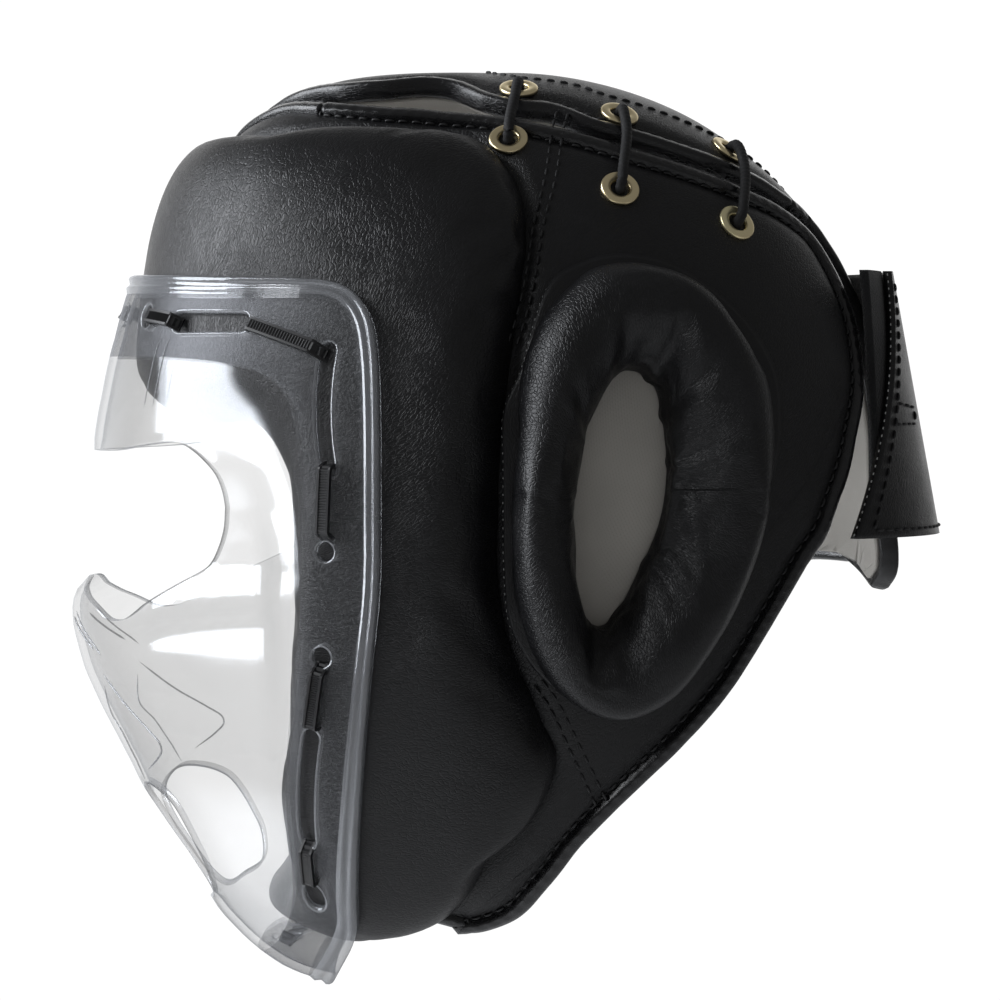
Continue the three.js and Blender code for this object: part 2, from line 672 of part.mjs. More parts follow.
function faceMask() {
  const axis = ray(...MASK_AXIS);
  const rim = maskOutline(52);
  const points = [];
  const loopAt = (inside) =>
    MASK_LOOPS.map(([share, rise]) =>
      rim.map((d) => {
        const q = slerp(axis, d, share);
        const lip = share > 0.9 ? rise * LIP_RISE : 0;
        points.push(at(q, maskRadius(q) + (inside ? -MASK_WALL : lip)));
        return points.length - 1;
      }),
    );
  const outer = loopAt(false);
  const inner = loopAt(true);
  points.push(at(axis, maskRadius(axis)), at(axis, maskRadius(axis) - MASK_WALL));
  const tips = [points.length - 2, points.length - 1];
  const faces = [];
  const n = rim.length;
  const quad = (a, b, c, d) => faces.push([a, b, c], [a, c, d]);
  for (let j = 0; j < n; j++) {
    const k = (j + 1) % n;
    for (let i = 0; i < MASK_LOOPS.length - 1; i++) {
      quad(outer[i][j], outer[i][k], outer[i + 1][k], outer[i + 1][j]);
      quad(inner[i][k], inner[i][j], inner[i + 1][j], inner[i + 1][k]);
    }
    quad(outer[0][k], outer[0][j], inner[0][j], inner[0][k]);
    const last = MASK_LOOPS.length - 1;
    faces.push([outer[last][j], outer[last][k], tips[0]]);
    faces.push([inner[last][k], inner[last][j], tips[1]]);
  }
  let mask = solidFrom(points, faces);
  const eye = EYE_OPENING.map(([a, b]) => ray(a, b));
  const cutters = [rayCutter([...eye, ...eye.slice(1, -1).reverse().map(mirror)])];
  for (const turn of [(d) => d, mirror]) {
    cutters.push(rayCutter(VENT.map(([a, b]) => turn(ray(a, b)))));
    for (const [a, b, c, d] of SLOTS) {
      cutters.push(rayCutter(slotOutline(turn(ray(a, b)), turn(ray(c, d)), SLOT_WIDTH)));
    }
    for (const [a, b] of HOLES) {
      const d = turn(ray(a, b));
      cutters.push(rayCutter(slotOutline(d, d, 2 * HOLE_RADIUS)));
    }
  }
  for (const cutter of cutters) mask = mask.subtract(cutter);
  return mask.simplify(0.03);
}

// Ties: straps laid on the outside of the flange from one hole to the next.
const TIES = [
  [31.5, 26.3, 38.5, 26.1], [53.6, 27.1, 67.6, 24.2], [69.9, 7.6, 69.4, -4.4], [67.7, -23.8, 65.2, -32.3],
  [60.4, -47, 58.6, -51.6],
];
const MIDDLE_TIES = [[-4.6, 26.2, 4.6, 26.2], [-10, -64, 10, -64]];

function tie(row, turn) {
  const [a, b, c, d] = row;
  const from = turn(ray(a, b));
  const to = turn(ray(c, d));
  const rays = [0, 0.5, 1].map((t) => slerp(from, to, t));
  const lift = [0.5, 0.8, 0.5];
  const radii = rays.map((q, i) => maskRadius(q) + TIE_THICK / 2 + lift[i]);
  return bar(rays, radii, TIE_WIDTH, TIE_THICK, 0.25);
}

// Rear closure: a loop strip behind the left panel and a flap from the right panel laid over it.
const REAR_TOP = 117 / 113;
const REAR_BOTTOM = 131 / 113;
const STRAP_PLAN = 62 / 76;
const STRAP_CENTRE = 60 / 113;

function strap(rows, lift) {
  const [nearTop, nearBottom, farTop, farBottom] = rows;
  const sections = [];
  for (let i = 0; i <= 4; i++) {
    const down = i / 4;
    const z = mix(STRAP_TOP, STRAP_BOTTOM, down);
    const rear = mix(REAR_TOP, REAR_BOTTOM, down) * REAR_REACH - lift;
    const centre = STRAP_CENTRE * REAR_REACH;
    const half = STRAP_PLAN * HALF_BREADTH - lift;
    const outer = [];
    const inner = [];
    for (let j = 0; j <= 10; j++) {
      const a = rad(mix(mix(nearTop, nearBottom, down), mix(farTop, farBottom, down), j / 10));
      for (const [list, off] of [[outer, 0], [inner, STRAP_THICK]]) {
        list.push(
          new THREE.Vector3(Math.sin(a) * (half - off), centre + Math.cos(a) * (rear - centre - off), z),
        );
      }
    }
    sections.push([...outer, ...inner.reverse()]);
  }
  return loft(sections);
}

const FLAP = [5, 47, -52, -58];
const LOOP_STRIP = [20, 38, -16, -16];

const MATERIALS = {
  leather: { color: 0x1c1d20, roughness: 0.45 },
  lining: { color: 0x8a867d, roughness: 0.9 },
  clear: { color: 0xd9dcdf, roughness: 0.1, transparent: true, opacity: 0.45 },
  brass: { color: 0xd8c48a, roughness: 0.3, metalness: 0.9 },
  nylon: { color: 0x151516, roughness: 0.5 },
  cord: { color: 0x121213, roughness: 0.85 },
  loop: { color: 0x0b0b0c, roughness: 0.95 },
};

const root = new THREE.Group();

function add(name, solid, material) {
  const data = solid.getMesh();
  const geometry = new THREE.BufferGeometry();
  const count = data.numProp;
  const position = new Float32Array(data.numVert * 3);
  for (let i = 0; i < data.numVert; i++) {
    position.set(data.vertProperties.subarray(i * count, i * count + 3), i * 3);
  }
  geometry.setAttribute("position", new THREE.BufferAttribute(position, 3));
  geometry.setIndex(new THREE.BufferAttribute(data.triVerts, 1));
  geometry.computeVertexNormals();
  const mesh = new THREE.Mesh(geometry, new THREE.MeshStandardMaterial(MATERIALS[material]));
  mesh.name = name;
  root.add(mesh);
}

add("face_frame_pad", facePad(), "leather");
add("face_frame_lining", padLining(), "lining");

for (const [side, word, column] of [[LEFT, "left", 0], [RIGHT, "right", 2]]) {
  const bores = EYELETS.map((row) => ray(row[column], row[column + 1]));
  let panel = panelShell(side, PANEL_START, PANEL_END, side === LEFT ? 6 : 7, 36);
  let lining = panelShell(side, 0, LINING_THICK, side === LEFT ? 6 : 7, 36);
  panel = panel.subtract(earCutter(side, TUCK));
  for (const cutter of [bindingBar(side, 2 * CLEARANCE), ...bores.map(eyeletCutter)]) {
    panel = panel.subtract(cutter);
    lining = lining.subtract(cutter);
  }
  panel = mainBody(panel).simplify(0.02);
  lining = mainBody(lining).simplify(0.02);
  add("side_panel_" + word, panel, "leather");
  add("side_lining_" + word, lining, "lining");
  add("edge_binding_" + word, bindingBar(side), "leather");
  add("ear_pad_" + word, earPad(side), "leather");
  add("ear_base_" + word, earBase(side), "leather");
  bores.forEach((d, i) => add("eyelet_" + word + "_" + (i + 1), eyelet(d), "brass"));
  const turn = side === LEFT ? (d) => d : mirror;
  TIES.forEach((row, i) => add("tie_" + word + "_" + (i + 1), tie(row, turn), "nylon"));
}

EYELETS.forEach((row, i) => {
  add("lace_" + (i + 1), lace(ray(row[0], row[1]), ray(row[2], row[3])), "cord");
});
add("face_mask", faceMask(), "clear");
add("tie_forehead", tie(MIDDLE_TIES[0], (d) => d), "nylon");
add("tie_chin", tie(MIDDLE_TIES[1], (d) => d), "nylon");
add("rear_flap", strap(FLAP, 0), "leather");
add("rear_loop_strip", strap(LOOP_STRIP, STRAP_THICK + 2 * CLEARANCE), "loop");

export default root;
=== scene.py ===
"""Head guard with a clear face mask: dresses the fixed frame in leather, lining, clear plastic and trim."""
import math

import bpy
import numpy as np
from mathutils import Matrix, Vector
from mathutils import geometry as planar


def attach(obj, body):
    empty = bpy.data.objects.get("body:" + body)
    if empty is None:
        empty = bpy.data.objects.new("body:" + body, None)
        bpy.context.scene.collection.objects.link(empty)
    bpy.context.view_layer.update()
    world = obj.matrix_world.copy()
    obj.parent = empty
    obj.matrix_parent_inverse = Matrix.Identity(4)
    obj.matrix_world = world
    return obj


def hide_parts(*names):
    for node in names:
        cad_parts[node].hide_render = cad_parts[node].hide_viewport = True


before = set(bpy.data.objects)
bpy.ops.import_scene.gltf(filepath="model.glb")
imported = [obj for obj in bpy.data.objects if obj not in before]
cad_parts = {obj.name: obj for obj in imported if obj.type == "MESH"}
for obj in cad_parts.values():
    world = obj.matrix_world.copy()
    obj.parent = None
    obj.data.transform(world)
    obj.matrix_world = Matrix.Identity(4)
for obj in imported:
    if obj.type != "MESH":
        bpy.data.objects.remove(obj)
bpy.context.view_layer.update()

bl_info = {
    "name": "Head guard with face mask",
    "version": (1, 0, 0),
    "blender": (4, 5, 0),
    "location": "View3D > Sidebar > Head guard",
    "description": "Builds a padded head guard with a clear face mask, piece by piece",
    "category": "Add Mesh",
}

MM = 0.001

# Lengths below are in mm and angles in degrees, unless a comment says otherwise. A pair in a table is a
# direction from the middle of the head space: degrees round from the face to the wearer's left, then up.
# The head space and the layers on it, as in the part's source.
HALF_BREADTH = 76
FACE_REACH = 90
REAR_REACH = 113
CROWN_RISE = 121
JAW_DROP = 160
LINING_THICK = 1.2
CLEARANCE = 0.4
PANEL_THICK = 4.4
PAD_THICK = 17.8
MASK_WALL = 2.4
MASK_LIFT = 1.2
EAR_CREST = 22.5
CHIN_FROM = -40
CHIN_SIDE = 66
CHIN_FLOOR = 0.835
JAW_FLOOR = 0.835
PANEL_START = LINING_THICK + CLEARANCE
PANEL_END = PANEL_START + PANEL_THICK
PAD_END = PANEL_START + PAD_THICK
MASK_OFF = PAD_END + MASK_LIFT + MASK_WALL
BASE_START = PANEL_END + 1.1
RING_START = BASE_START + 2.2

# Up, then the mask's reach in front as a share of FACE_REACH.
MASK_FRONT = np.array([
    [36, 1.468], [33.5, 1.437], [31.7, 1.416], [28.4, 1.409], [23.1, 1.388], [15, 1.381], [6.9, 1.384],
    [0, 1.385], [-6, 1.389], [-10.5, 1.43], [-12, 1.478], [-13.4, 1.503], [-14.6, 1.512], [-16.5, 1.522],
    [-19.2, 1.527], [-22.1, 1.532], [-25, 1.53], [-28.4, 1.529], [-31.7, 1.529], [-35.4, 1.535],
    [-38.9, 1.55], [-43.5, 1.572], [-48.2, 1.596], [-53, 1.63], [-55.8, 1.647], [-58.6, 1.654],
    [-61.5, 1.652], [-64.9, 1.64], [-67, 1.628], [-71.1, 1.6], [-74.2, 1.58], [-80, 1.56],
])
# Up, then how square the bowl's plan is there.
MASK_POWER = np.array([
    [33.5, 2.3], [25, 2.2], [15, 1.95], [6.9, 1.8], [0, 1.6], [-10, 1.45], [-20, 1.45], [-30, 1.6],
    [-40, 1.8], [-50, 2], [-60, 2.2], [-75, 2.2],
])

# Edge of the face opening, then the rear seam, from the forehead down one side to the chin.
PAD_ROWS = [
    [0, 17.4, 0, 51.5], [12, 16.6, 9, 52], [20, 15.2, 21, 53.2], [29.2, 14.1, 30, 54.5],
    [36, 14.6, 42, 56.4], [42, 15.2, 55, 59.8], [48.1, 14.5, 70, 62.8], [51, 13.6, 82, 64.3],
    [53.1, 12.4, 91, 63.8], [55, 10.8, 96.5, 61.8], [56.6, 8.8, 101.5, 58], [58, 6.5, 104, 53],
    [58.8, 4.8, 104.2, 47], [59.3, 2.2, 102.8, 41], [59.5, -1, 101, 32.3], [59.5, -5, 98.6, 16.8],
    [59.3, -10, 97.6, 0], [59, -15.5, 97.6, -13], [58.3, -21, 99.2, -22.8], [57.4, -27, 101.5, -28.5],
    [56.5, -32, 106, -36], [55, -37, 109.8, -41.5], [53, -42, 107, -48], [51.5, -46.2, 98, -54.2],
    [49, -50.4, 91.1, -60.4], [47.5, -54, 84, -63.8], [45, -57, 72, -65.5], [36, -58.5, 58, -68],
    [20, -59, 35, -71.5], [0, -59.2, 0, -75],
]
# Share of the way from the face opening to the rear seam, then share of the full thickness.
PAD_PROFILE = [
    [0, 0.4], [0.03, 0.8], [0.11, 0.97], [0.3, 1], [0.55, 1], [0.76, 0.95], [0.9, 0.77], [0.97, 0.5],
    [1, 0.2],
]
# The panel's seam at the pad, then its crown, rear and lower edge; the seam leaves the pad after PAD_SEAM_ROWS.
PANEL_ROWS = [
    [6, 52.4, 8, 55.8], [21, 53.6, 17, 59], [30, 54.9, 25.4, 61.3], [42, 56.8, 41.6, 63.6],
    [55, 60.2, 54.7, 65.8], [70, 63.2, 69.5, 68.6], [82, 64.7, 85.8, 69.9], [91.3, 64.3, 100, 69],
    [97.2, 62.2, 113, 66.8], [102.2, 58.2, 125, 64], [104.7, 53, 137, 59.5], [104.3, 44.5, 148, 54.8],
    [101.8, 32.8, 158.6, 49.3], [99.2, 16.8, 167, 44.5], [98.2, 2, 171.6, 40], [98.4, -13.5, 172.3, 34],
    [100.4, -24.5, 171.6, 28], [106.5, -35.6, 170.2, 23.9], [110.5, -42.2, 168, 19.5],
    [107.4, -49, 166, 16.5], [97.8, -56.4, 164, 13.5], [83, -66.2, 162.5, 11], [95.5, -64.8, 161.2, 8.4],
    [105, -59.6, 160.2, 6.2], [112.2, -53.8, 159.4, 4.6], [121, -47.2, 158.9, 3.4],
    [130.5, -39.2, 158.5, 2.4],
    [138.3, -30.4, 158, 1.4], [144.5, -20, 157.4, -0.4], [150.6, -9.2, 156, -3.2],
]
PAD_SEAM_ROWS = 21
# Crown and rear edge of the right panel, on the left side's signs, as it shows beyond the left one.
FAR_CROWN = [
    [3, 58.6], [12, 61.6], [21, 64.2], [36, 67], [47.1, 70], [60, 74.6], [72, 75.6], [91, 73.1],
    [103, 71.2], [118, 69.4], [129, 65], [141, 60.6], [152, 55.8], [163, 50.4], [171, 45.4], [178, 41],
    [-178.5, 36.5], [-176.4, 31], [-174.8, 25.5], [-173.5, 20.5], [-172.5, 16], [-171.7, 12], [-171.2, 8.5],
    [-170.9, 5], [-170.7, 2], [-170.5, -1.5], [-170.2, -4.6], [-169.8, -7.6], [-169, -10.4], [-166.4, -13],
]
EAR_CENTRE = [120, 3.5]
EAR_RING = [
    [102, 21.4], [103.6, 27.8], [106, 32.2], [109.6, 36], [115, 39.1], [120.4, 39.5], [125.8, 38.6],
    [134.2, 35.3], [139.2, 30.5], [142.6, 24.3], [143.8, 18.6], [143.7, 12.4], [143.3, 6.2], [142, -0.5],
    [139.6, -8.4], [136.2, -16.3], [132.3, -22.9], [128.1, -28.4], [123.7, -31.1], [118.9, -32.4],
    [113.9, -31.9], [107.8, -28.7], [104, -24], [101.4, -15.6], [100.6, -6.4], [100.6, 2.9], [101.4, 13.1],
]
EAR_HOLE = [
    [122.6, 24.8], [126.2, 23.7], [128, 21.4], [128.9, 15.4], [129.2, 6.2], [127.9, -2.4], [124.3, -11.2],
    [119.6, -20.2], [117.4, -21.2], [114.8, -20.2], [112.8, -14.6], [111.8, -6.6], [111.6, 1],
    [113, 10.4], [115.6, 17.4], [119.2, 22.6],
]
EAR_BASE = [
    [102.4, 26.2], [103.8, 30.5], [105.2, 34], [107, 37.6], [109.6, 40.2], [114.6, 41.8], [119.6, 42.4],
    [125.4, 41.8], [131.2, 40.2], [138.7, 35.3], [144.3, 28.8], [147.1, 22.9], [147.8, 18.2],
    [147.2, 12.2], [146, 7.2], [143.4, -1.7], [141, -9], [136.9, -17.3], [133.4, -24], [129, -29.4],
    [124, -32.1], [118.9, -33.3], [113.4, -32.9], [106.6, -29.7], [102, -25], [99.6, -20], [98.7, -10],
    [98.6, 0], [98.6, 9.1], [98.6, 18],
]
# Left eyelet, then right eyelet, from front to rear.
EYELETS = [[101.2, 65, 109, 76.3], [129, 53.8, 143, 66.6], [152, 44.2, 168.5, 55.6]]
MASK_OUTLINE = [
    [0, 31.5], [14, 31.4], [27.6, 31.6], [42.5, 32.3], [53, 33.1], [63, 33.9], [68.5, 34], [71.8, 33.2],
    [74.2, 31.6], [76, 29], [77.3, 24], [78.2, 14.4], [78.5, 1.9], [78.2, -12], [76.2, -24.9],
    [73.6, -37.3], [71.2, -46], [68.6, -52.9], [66.4, -57], [62, -60.2], [52, -64], [38, -67.6],
    [20, -70.6], [0, -71.8],
]
# Direction round which the mask is laid flat.
MASK_AXIS = [0, -18]
# Inner edge of the frosted flange.
FLANGE_EDGE = [
    [0, 20.2], [14, 20.3], [27.6, 20.8], [40, 21.4], [50, 21.4], [57, 20.5], [61.5, 18], [64, 13],
    [65.3, 5], [65.6, -6], [64.6, -17], [61.8, -28], [58.6, -37.5], [56.4, -44.5], [54.6, -50],
    [52, -54], [46, -57.2], [34, -59.6], [17, -61], [0, -61.6],
]
EYE_OPENING = [
    [0, 6.9], [12.1, 7.2], [22.2, 7.8], [32, 9.1], [38.2, 9.7], [41.4, 9.2], [44.9, 7.3], [46.9, 5.2],
    [47.4, 2.4], [46.6, -0.7], [45.6, -3.3], [43.7, -6], [41.5, -8.6], [39.4, -10.1], [32.2, -12.8],
    [25.4, -15], [21.4, -16.5], [18.4, -17], [15.6, -16.6], [11.5, -14.4], [6, -12], [2.5, -10.7], [0, -10.5],
]
VENT = [
    [3.2, -41.2], [11.2, -38.6], [17.5, -39.6], [22.5, -41.8], [24.6, -44.3], [25.8, -47], [26.3, -49.5],
    [24, -52.3], [16, -53.4], [3.6, -53],
]
# Both ends of each slot, and the middle of each hole.
SLOTS = [[39.2, 26.2, 52.7, 27.3], [68.8, 24.5, 69.9, 6.4], [64.8, -33.5, 60.8, -45.9]]
HOLES = [[30, 26.4], [69.3, -6.4], [67.9, -22.4], [58.4, -53.2], [6, 26.2], [12, -64]]
# Both ends of each tie on one side, then of those on the middle line.
TIES = [
    [31.5, 26.3, 38.5, 26.1], [53.6, 27.1, 67.6, 24.2], [69.9, 7.6, 69.4, -4.4], [67.7, -23.8, 65.2, -32.3],
    [60.4, -47, 58.6, -51.6],
]
MIDDLE_TIES = [[-4.6, 26.2, 4.6, 26.2], [-10, -64, 10, -64]]
STRAP_THICK = 2.6
STRAP_TOP = 68
STRAP_BOTTOM = -9
# The strap's plan as shares of the head space, and the rounds of its near and far end, top and bottom.
REAR_TOP = 117 / 113
REAR_BOTTOM = 131 / 113
STRAP_PLAN = 62 / 76
STRAP_CENTRE = 60 / 113
FLAP = [5, 47, -52, -58]
LOOP_STRIP = [20, 38, -16, -16]

# Lower edge of the right panel, from this row on.
FAR_SEAM_FROM = 21
FAR_SEAM = [
    [-82, -66], [-90, -63.8], [-97.5, -60.4], [-104.5, -55.8], [-112, -49.6], [-121, -41.4], [-131, -29],
    [-143, -11], [-158, -7.5],
]
CORNER_FLARE = 4.4
JAW_PULL = 0.35
TWIN_SEAM_TOP = [
    [120.1, 68.9], [115.5, 65.2], [110.1, 56.9], [105.9, 49.6], [103.7, 42.1], [101.6, 35.4], [99.6, 30.4],
]
TWIN_SEAM_LOW = [[106, -30], [109.3, -33.3], [114.7, -40.2], [120.6, -46.4]]
# Radius of each moulded line and its run.
MASK_LINES = [
    [0.16, [[35.7, 23.7], [33.6, 19], [31.4, 14.2]]],
    [0.16, [[38.0, 23.9], [35.9, 19.1], [33.8, 14.4]]],
    [0.32, [[4.0, -15.4], [6.4, -17.6], [9.4, -20.1]]],
    [0.25, [[5.4, -14.8], [7.8, -17.5], [11.6, -21.1]]],
    [0.28, [
        [11.2, -23.6], [16.7, -28.8], [21.6, -32.2], [24.3, -34.1], [24.4, -35.0], [22.3, -35.9], [17.3, -36.9],
    ]],
    [0.22, [[10.2, -25.1], [8.8, -28.8], [10.5, -31.5], [11.9, -34.6], [13.3, -37.9]]],
]
LEFT = 1
RIGHT = -1
SIDES = ((LEFT, "left"), (RIGHT, "right"))
MIRROR = np.array([-1.0, 1.0, 1.0])
# Turns directions on the left side to either side.
FLIP = {LEFT: np.ones(3), RIGHT: MIRROR}
UPWARD = [0.0, 0.0, 1.0]
# The mask lies over the pad below this, so the pad keeps under it.
MASKED_BELOW = 34
# A usual distance from the middle to a side panel, to turn angles there into lengths.
SIDE_RADIUS = 105

# The mask is built on a flat sheet in degrees: its grid step, the rows along the lip, and how far in the edge
# material of the lip and of the openings goes. Widths of slots and holes are in mm.
MASK_STEP = 1.25
LIP_STEPS = (0.3, 0.6, 0.9, 1.2, 1.5, 1.8, 2.1, 2.5)
LIP_ZONE = 2.4
RIM_ZONE = 0.3
SLOT_WIDTH = 5.4
HOLE_WIDTH = 6.4

# Camera of the photograph: round and up, distance in m.
CAMERA_ROUND = 98
CAMERA_UP = 2
CAMERA_DISTANCE = 1.1
CAMERA_LENS = 132
CAMERA_SENSOR = 36
# World light, from beside and behind the camera to behind the part, and the cosines between which it changes.
WORLD_DIM = 0.17
WORLD_BRIGHT = 1.05
WORLD_FROM = 0.5
WORLD_TO = 0.95
FLOOR_SPOKES = 24
FLOOR_RADII = (0.6, 1.3, 2.2)


class HeadGuardSizes(bpy.types.PropertyGroup):
    """Sizes of the sewn and moulded detail"""

    stitch_length: bpy.props.FloatProperty(
        name="Stitch length", description="Length of one visible stitch", default=0.0027, unit="LENGTH"
    )
    stitch_pitch: bpy.props.FloatProperty(
        name="Stitch pitch", description="Distance from stitch to stitch", default=0.0039, unit="LENGTH"
    )
    thread: bpy.props.FloatProperty(
        name="Thread radius", description="Radius of the sewing thread", default=0.00042, unit="LENGTH"
    )
    binding_width: bpy.props.FloatProperty(
        name="Binding width", description="Width of the folded edge binding", default=0.0046, unit="LENGTH"
    )
    grain: bpy.props.FloatProperty(
        name="Grain pitch", description="Distance between wrinkles of the leather grain", default=0.0009,
        unit="LENGTH",
    )
    grain_depth: bpy.props.FloatProperty(
        name="Grain depth", description="Depth of the leather grain", default=0.00018, unit="LENGTH"
    )
    pad_swell: bpy.props.FloatProperty(
        name="Pad swell", description="Most that a pad may swell in its simulation", default=0.0018,
        unit="LENGTH",
    )
    floor_drop: bpy.props.FloatProperty(
        name="Floor drop", description="Floor below the middle of the head space", default=0.62, unit="LENGTH"
    )


class HeadGuardColours(bpy.types.PropertyGroup):
    """Colours of the materials"""

    leather: bpy.props.FloatVectorProperty(
        name="Leather", description="Black coated leather", default=(0.0075, 0.0075, 0.0085),
        subtype="COLOR", min=0, max=1,
    )
    binding: bpy.props.FloatVectorProperty(
        name="Binding", description="Glossy edge binding", default=(0.006, 0.006, 0.007),
        subtype="COLOR", min=0, max=1,
    )
    thread: bpy.props.FloatVectorProperty(
        name="Thread", description="Sewing thread", default=(0.008, 0.008, 0.009),
        subtype="COLOR", min=0, max=1,
    )
    lining: bpy.props.FloatVectorProperty(
        name="Lining", description="Warm grey lining", default=(0.44, 0.42, 0.385),
        subtype="COLOR", min=0, max=1,
    )
    frost: bpy.props.FloatVectorProperty(
        name="Frosted band", description="Scatter of the frosted flange", default=(0.42, 0.43, 0.44),
        subtype="COLOR", min=0, max=1,
    )
    brass: bpy.props.FloatVectorProperty(
        name="Brass", description="Pale brass of the eyelets", default=(0.93, 0.79, 0.49),
        subtype="COLOR", min=0, max=1,
    )
    nylon: bpy.props.FloatVectorProperty(
        name="Nylon", description="Black nylon ties", default=(0.012, 0.012, 0.013),
        subtype="COLOR", min=0, max=1,
    )
    loop: bpy.props.FloatVectorProperty(
        name="Loop pile", description="Black loop strip", default=(0.006, 0.006, 0.007),
        subtype="COLOR", min=0, max=1,
    )
    # Also the colour of the painted hook glints along the rear flap's near end.
    fibre_and_glint: bpy.props.FloatVectorProperty(
        name="Fibre", description="White backing fibre at cut edges", default=(0.62, 0.63, 0.62),
        subtype="COLOR", min=0, max=1,
    )
    floor: bpy.props.FloatVectorProperty(
        name="Floor", description="Pale floor", default=(0.9, 0.9, 0.9),
        subtype="COLOR", min=0, max=1,
    )


def sizes():
    return bpy.context.scene.head_guard_sizes


def colours():
    return bpy.context.scene.head_guard_colours


def unit(v):
    """Vectors brought to length 1."""
    return v / np.linalg.norm(v, axis=-1, keepdims=True)


def ray(round_, up):
    """Directions at degrees round from the face and degrees up."""
    a = np.radians(round_)
    b = np.radians(up)
    return np.stack([np.cos(b) * np.sin(a), -np.cos(b) * np.cos(a), np.sin(b)], axis=-1)


def rays(rows):
    """Directions from a table of pairs."""
    rows = np.asarray(rows, float)
    return ray(rows[..., 0], rows[..., 1])


def round_of(d):
    return np.degrees(np.arctan2(d[..., 0], -d[..., 1]))


def up_of(d):
    return np.degrees(np.arctan2(d[..., 2], np.hypot(d[..., 0], d[..., 1])))


def axes_round(centre):
    """Two directions square to a third: level, then upward."""
    side = unit(np.cross(UPWARD, centre))
    return side, np.cross(centre, side)


def smooth(t):
    """Eased step from 0 to 1."""
    c = np.clip(t, 0, 1)
    return c * c * (3 - 2 * c)


def mix(a, b, t):
    return a + (b - a) * t


def look_up(table, x):
    """Value from a table whose first column falls."""
    return np.interp(x, table[::-1, 0], table[::-1, 1])


def head_radius(d):
    """Distance in mm from the origin to the head space, along unit directions."""
    x, y, z = np.moveaxis(d, -1, 0)
    reach = np.where(y < 0, FACE_REACH, REAR_REACH)
    height = np.where(z > 0, CROWN_RISE, JAW_DROP)
    facing = -y / (np.hypot(x, y) + 1e-9)
    p = 2 + 0.3 * (facing * 0.5 + 0.5)
    g = ((np.abs(x) / HALF_BREADTH) ** p + (np.abs(y) / reach) ** p + 1e-12) ** (1 / p)
    n = 2.2 + np.where(facing > 0, 1.8, -0.1) * facing * facing
    return (g ** n + (np.abs(z) / height) ** n) ** (-1 / n)


def chin_shell(d):
    """Distance in mm to the mask round the chin, which ends on a level floor."""
    up = up_of(d)
    turn = np.abs(round_of(d))
    front = look_up(MASK_FRONT, up) * FACE_REACH
    side = head_radius(ray(np.maximum(turn, CHIN_SIDE), up)) + MASK_OFF
    reach = mix(front, side, smooth(turn / CHIN_SIDE))
    floor = mix(CHIN_FLOOR, JAW_FLOOR, smooth(turn / CHIN_SIDE)) * JAW_DROP
    most = floor / np.maximum(0.2, -np.sin(np.radians(up)))
    return (reach ** -12 + most ** -12) ** (-1 / 12)


def flange_off(d):
    """Height in mm of the mask's flange above the head space."""
    up = up_of(d)
    front = look_up(MASK_FRONT, up) * FACE_REACH - head_radius(ray(0 * up, up))
    off = mix(front, MASK_OFF, smooth(np.abs(round_of(d)) / 52))
    low = mix(off, chin_shell(d) - head_radius(d), smooth((CHIN_FROM - up) / 12))
    return np.where(up > CHIN_FROM, off, low)


def chin_pull(d):
    """How far in mm the chin's lower layers are drawn in under the mask."""
    return np.minimum(0, flange_off(d) - MASK_OFF) * smooth((CHIN_FROM - up_of(d)) / 6)


def mask_radius(d):
    """Distance in mm to the outer face of the mask: a bowl in front, a flange laid on the pad round it."""
    turn = np.abs(round_of(d))
    up = up_of(d)
    on_pad = np.maximum.reduce([smooth((turn - 50) / 16), smooth((up - 18) / 8), smooth((-up - 62) / 8)])
    front = look_up(MASK_FRONT, up) * FACE_REACH
    side = head_radius(ray(0 * up + 90, up)) + MASK_OFF
    p = look_up(MASK_POWER, up)
    c = np.abs(np.cos(np.radians(turn))) / front
    s = np.abs(np.sin(np.radians(turn))) / side
    bowl = (c ** p + s ** p) ** (-1 / p)
    return mix(bowl, head_radius(d) + flange_off(d), on_pad)


def slerp(a, b, t):
    """Directions a share of the way along the arc from one to another."""
    angle = np.arccos(np.clip(np.sum(a * b, axis=-1, keepdims=True), -1, 1))
    s = np.sin(angle)
    safe = np.where(s < 1e-7, 1, s)
    out = np.sin((1 - t) * angle) / safe * a + np.sin(t * angle) / safe * b
    return unit(np.where(s < 1e-7, a, out))


def curve_through(rows, count, closed=False):
    """Centripetal curve through points, evenly spaced by row."""
    rows = np.asarray(rows, float)
    n = len(rows)
    last = n if closed else n - 1
    t = np.linspace(0, last, count, endpoint=not closed)
    k = np.minimum(t.astype(int), last - 1)
    w = (t - k)[:, None]
    if closed:
        p0, p1, p2, p3 = (rows[(k + i) % n] for i in (-1, 0, 1, 2))
    else:
        ext = np.vstack([2 * rows[0] - rows[1], rows, 2 * rows[-1] - rows[-2]])
        p0, p1, p2, p3 = (ext[k + i] for i in (0, 1, 2, 3))
    d1, d2, d3 = (
        np.maximum(np.linalg.norm(b - a, axis=-1, keepdims=True) ** 0.5, 1e-4)
        for a, b in ((p0, p1), (p1, p2), (p2, p3))
    )
    t1 = ((p1 - p0) / d1 - (p2 - p0) / (d1 + d2) + (p2 - p1) / d2) * d2
    t2 = ((p2 - p1) / d2 - (p3 - p1) / (d2 + d3) + (p3 - p2) / d3) * d2
    w2 = w * w
    w3 = w2 * w
    return (
        (2 * w3 - 3 * w2 + 1) * p1 + (w3 - 2 * w2 + w) * t1 + (3 * w2 - 2 * w3) * p2 + (w3 - w2) * t2
    )


def length_run(points):
    """Length from the start of a line to each of its points."""
    return np.concatenate([[0], np.cumsum(np.linalg.norm(np.diff(points, axis=0), axis=1))])


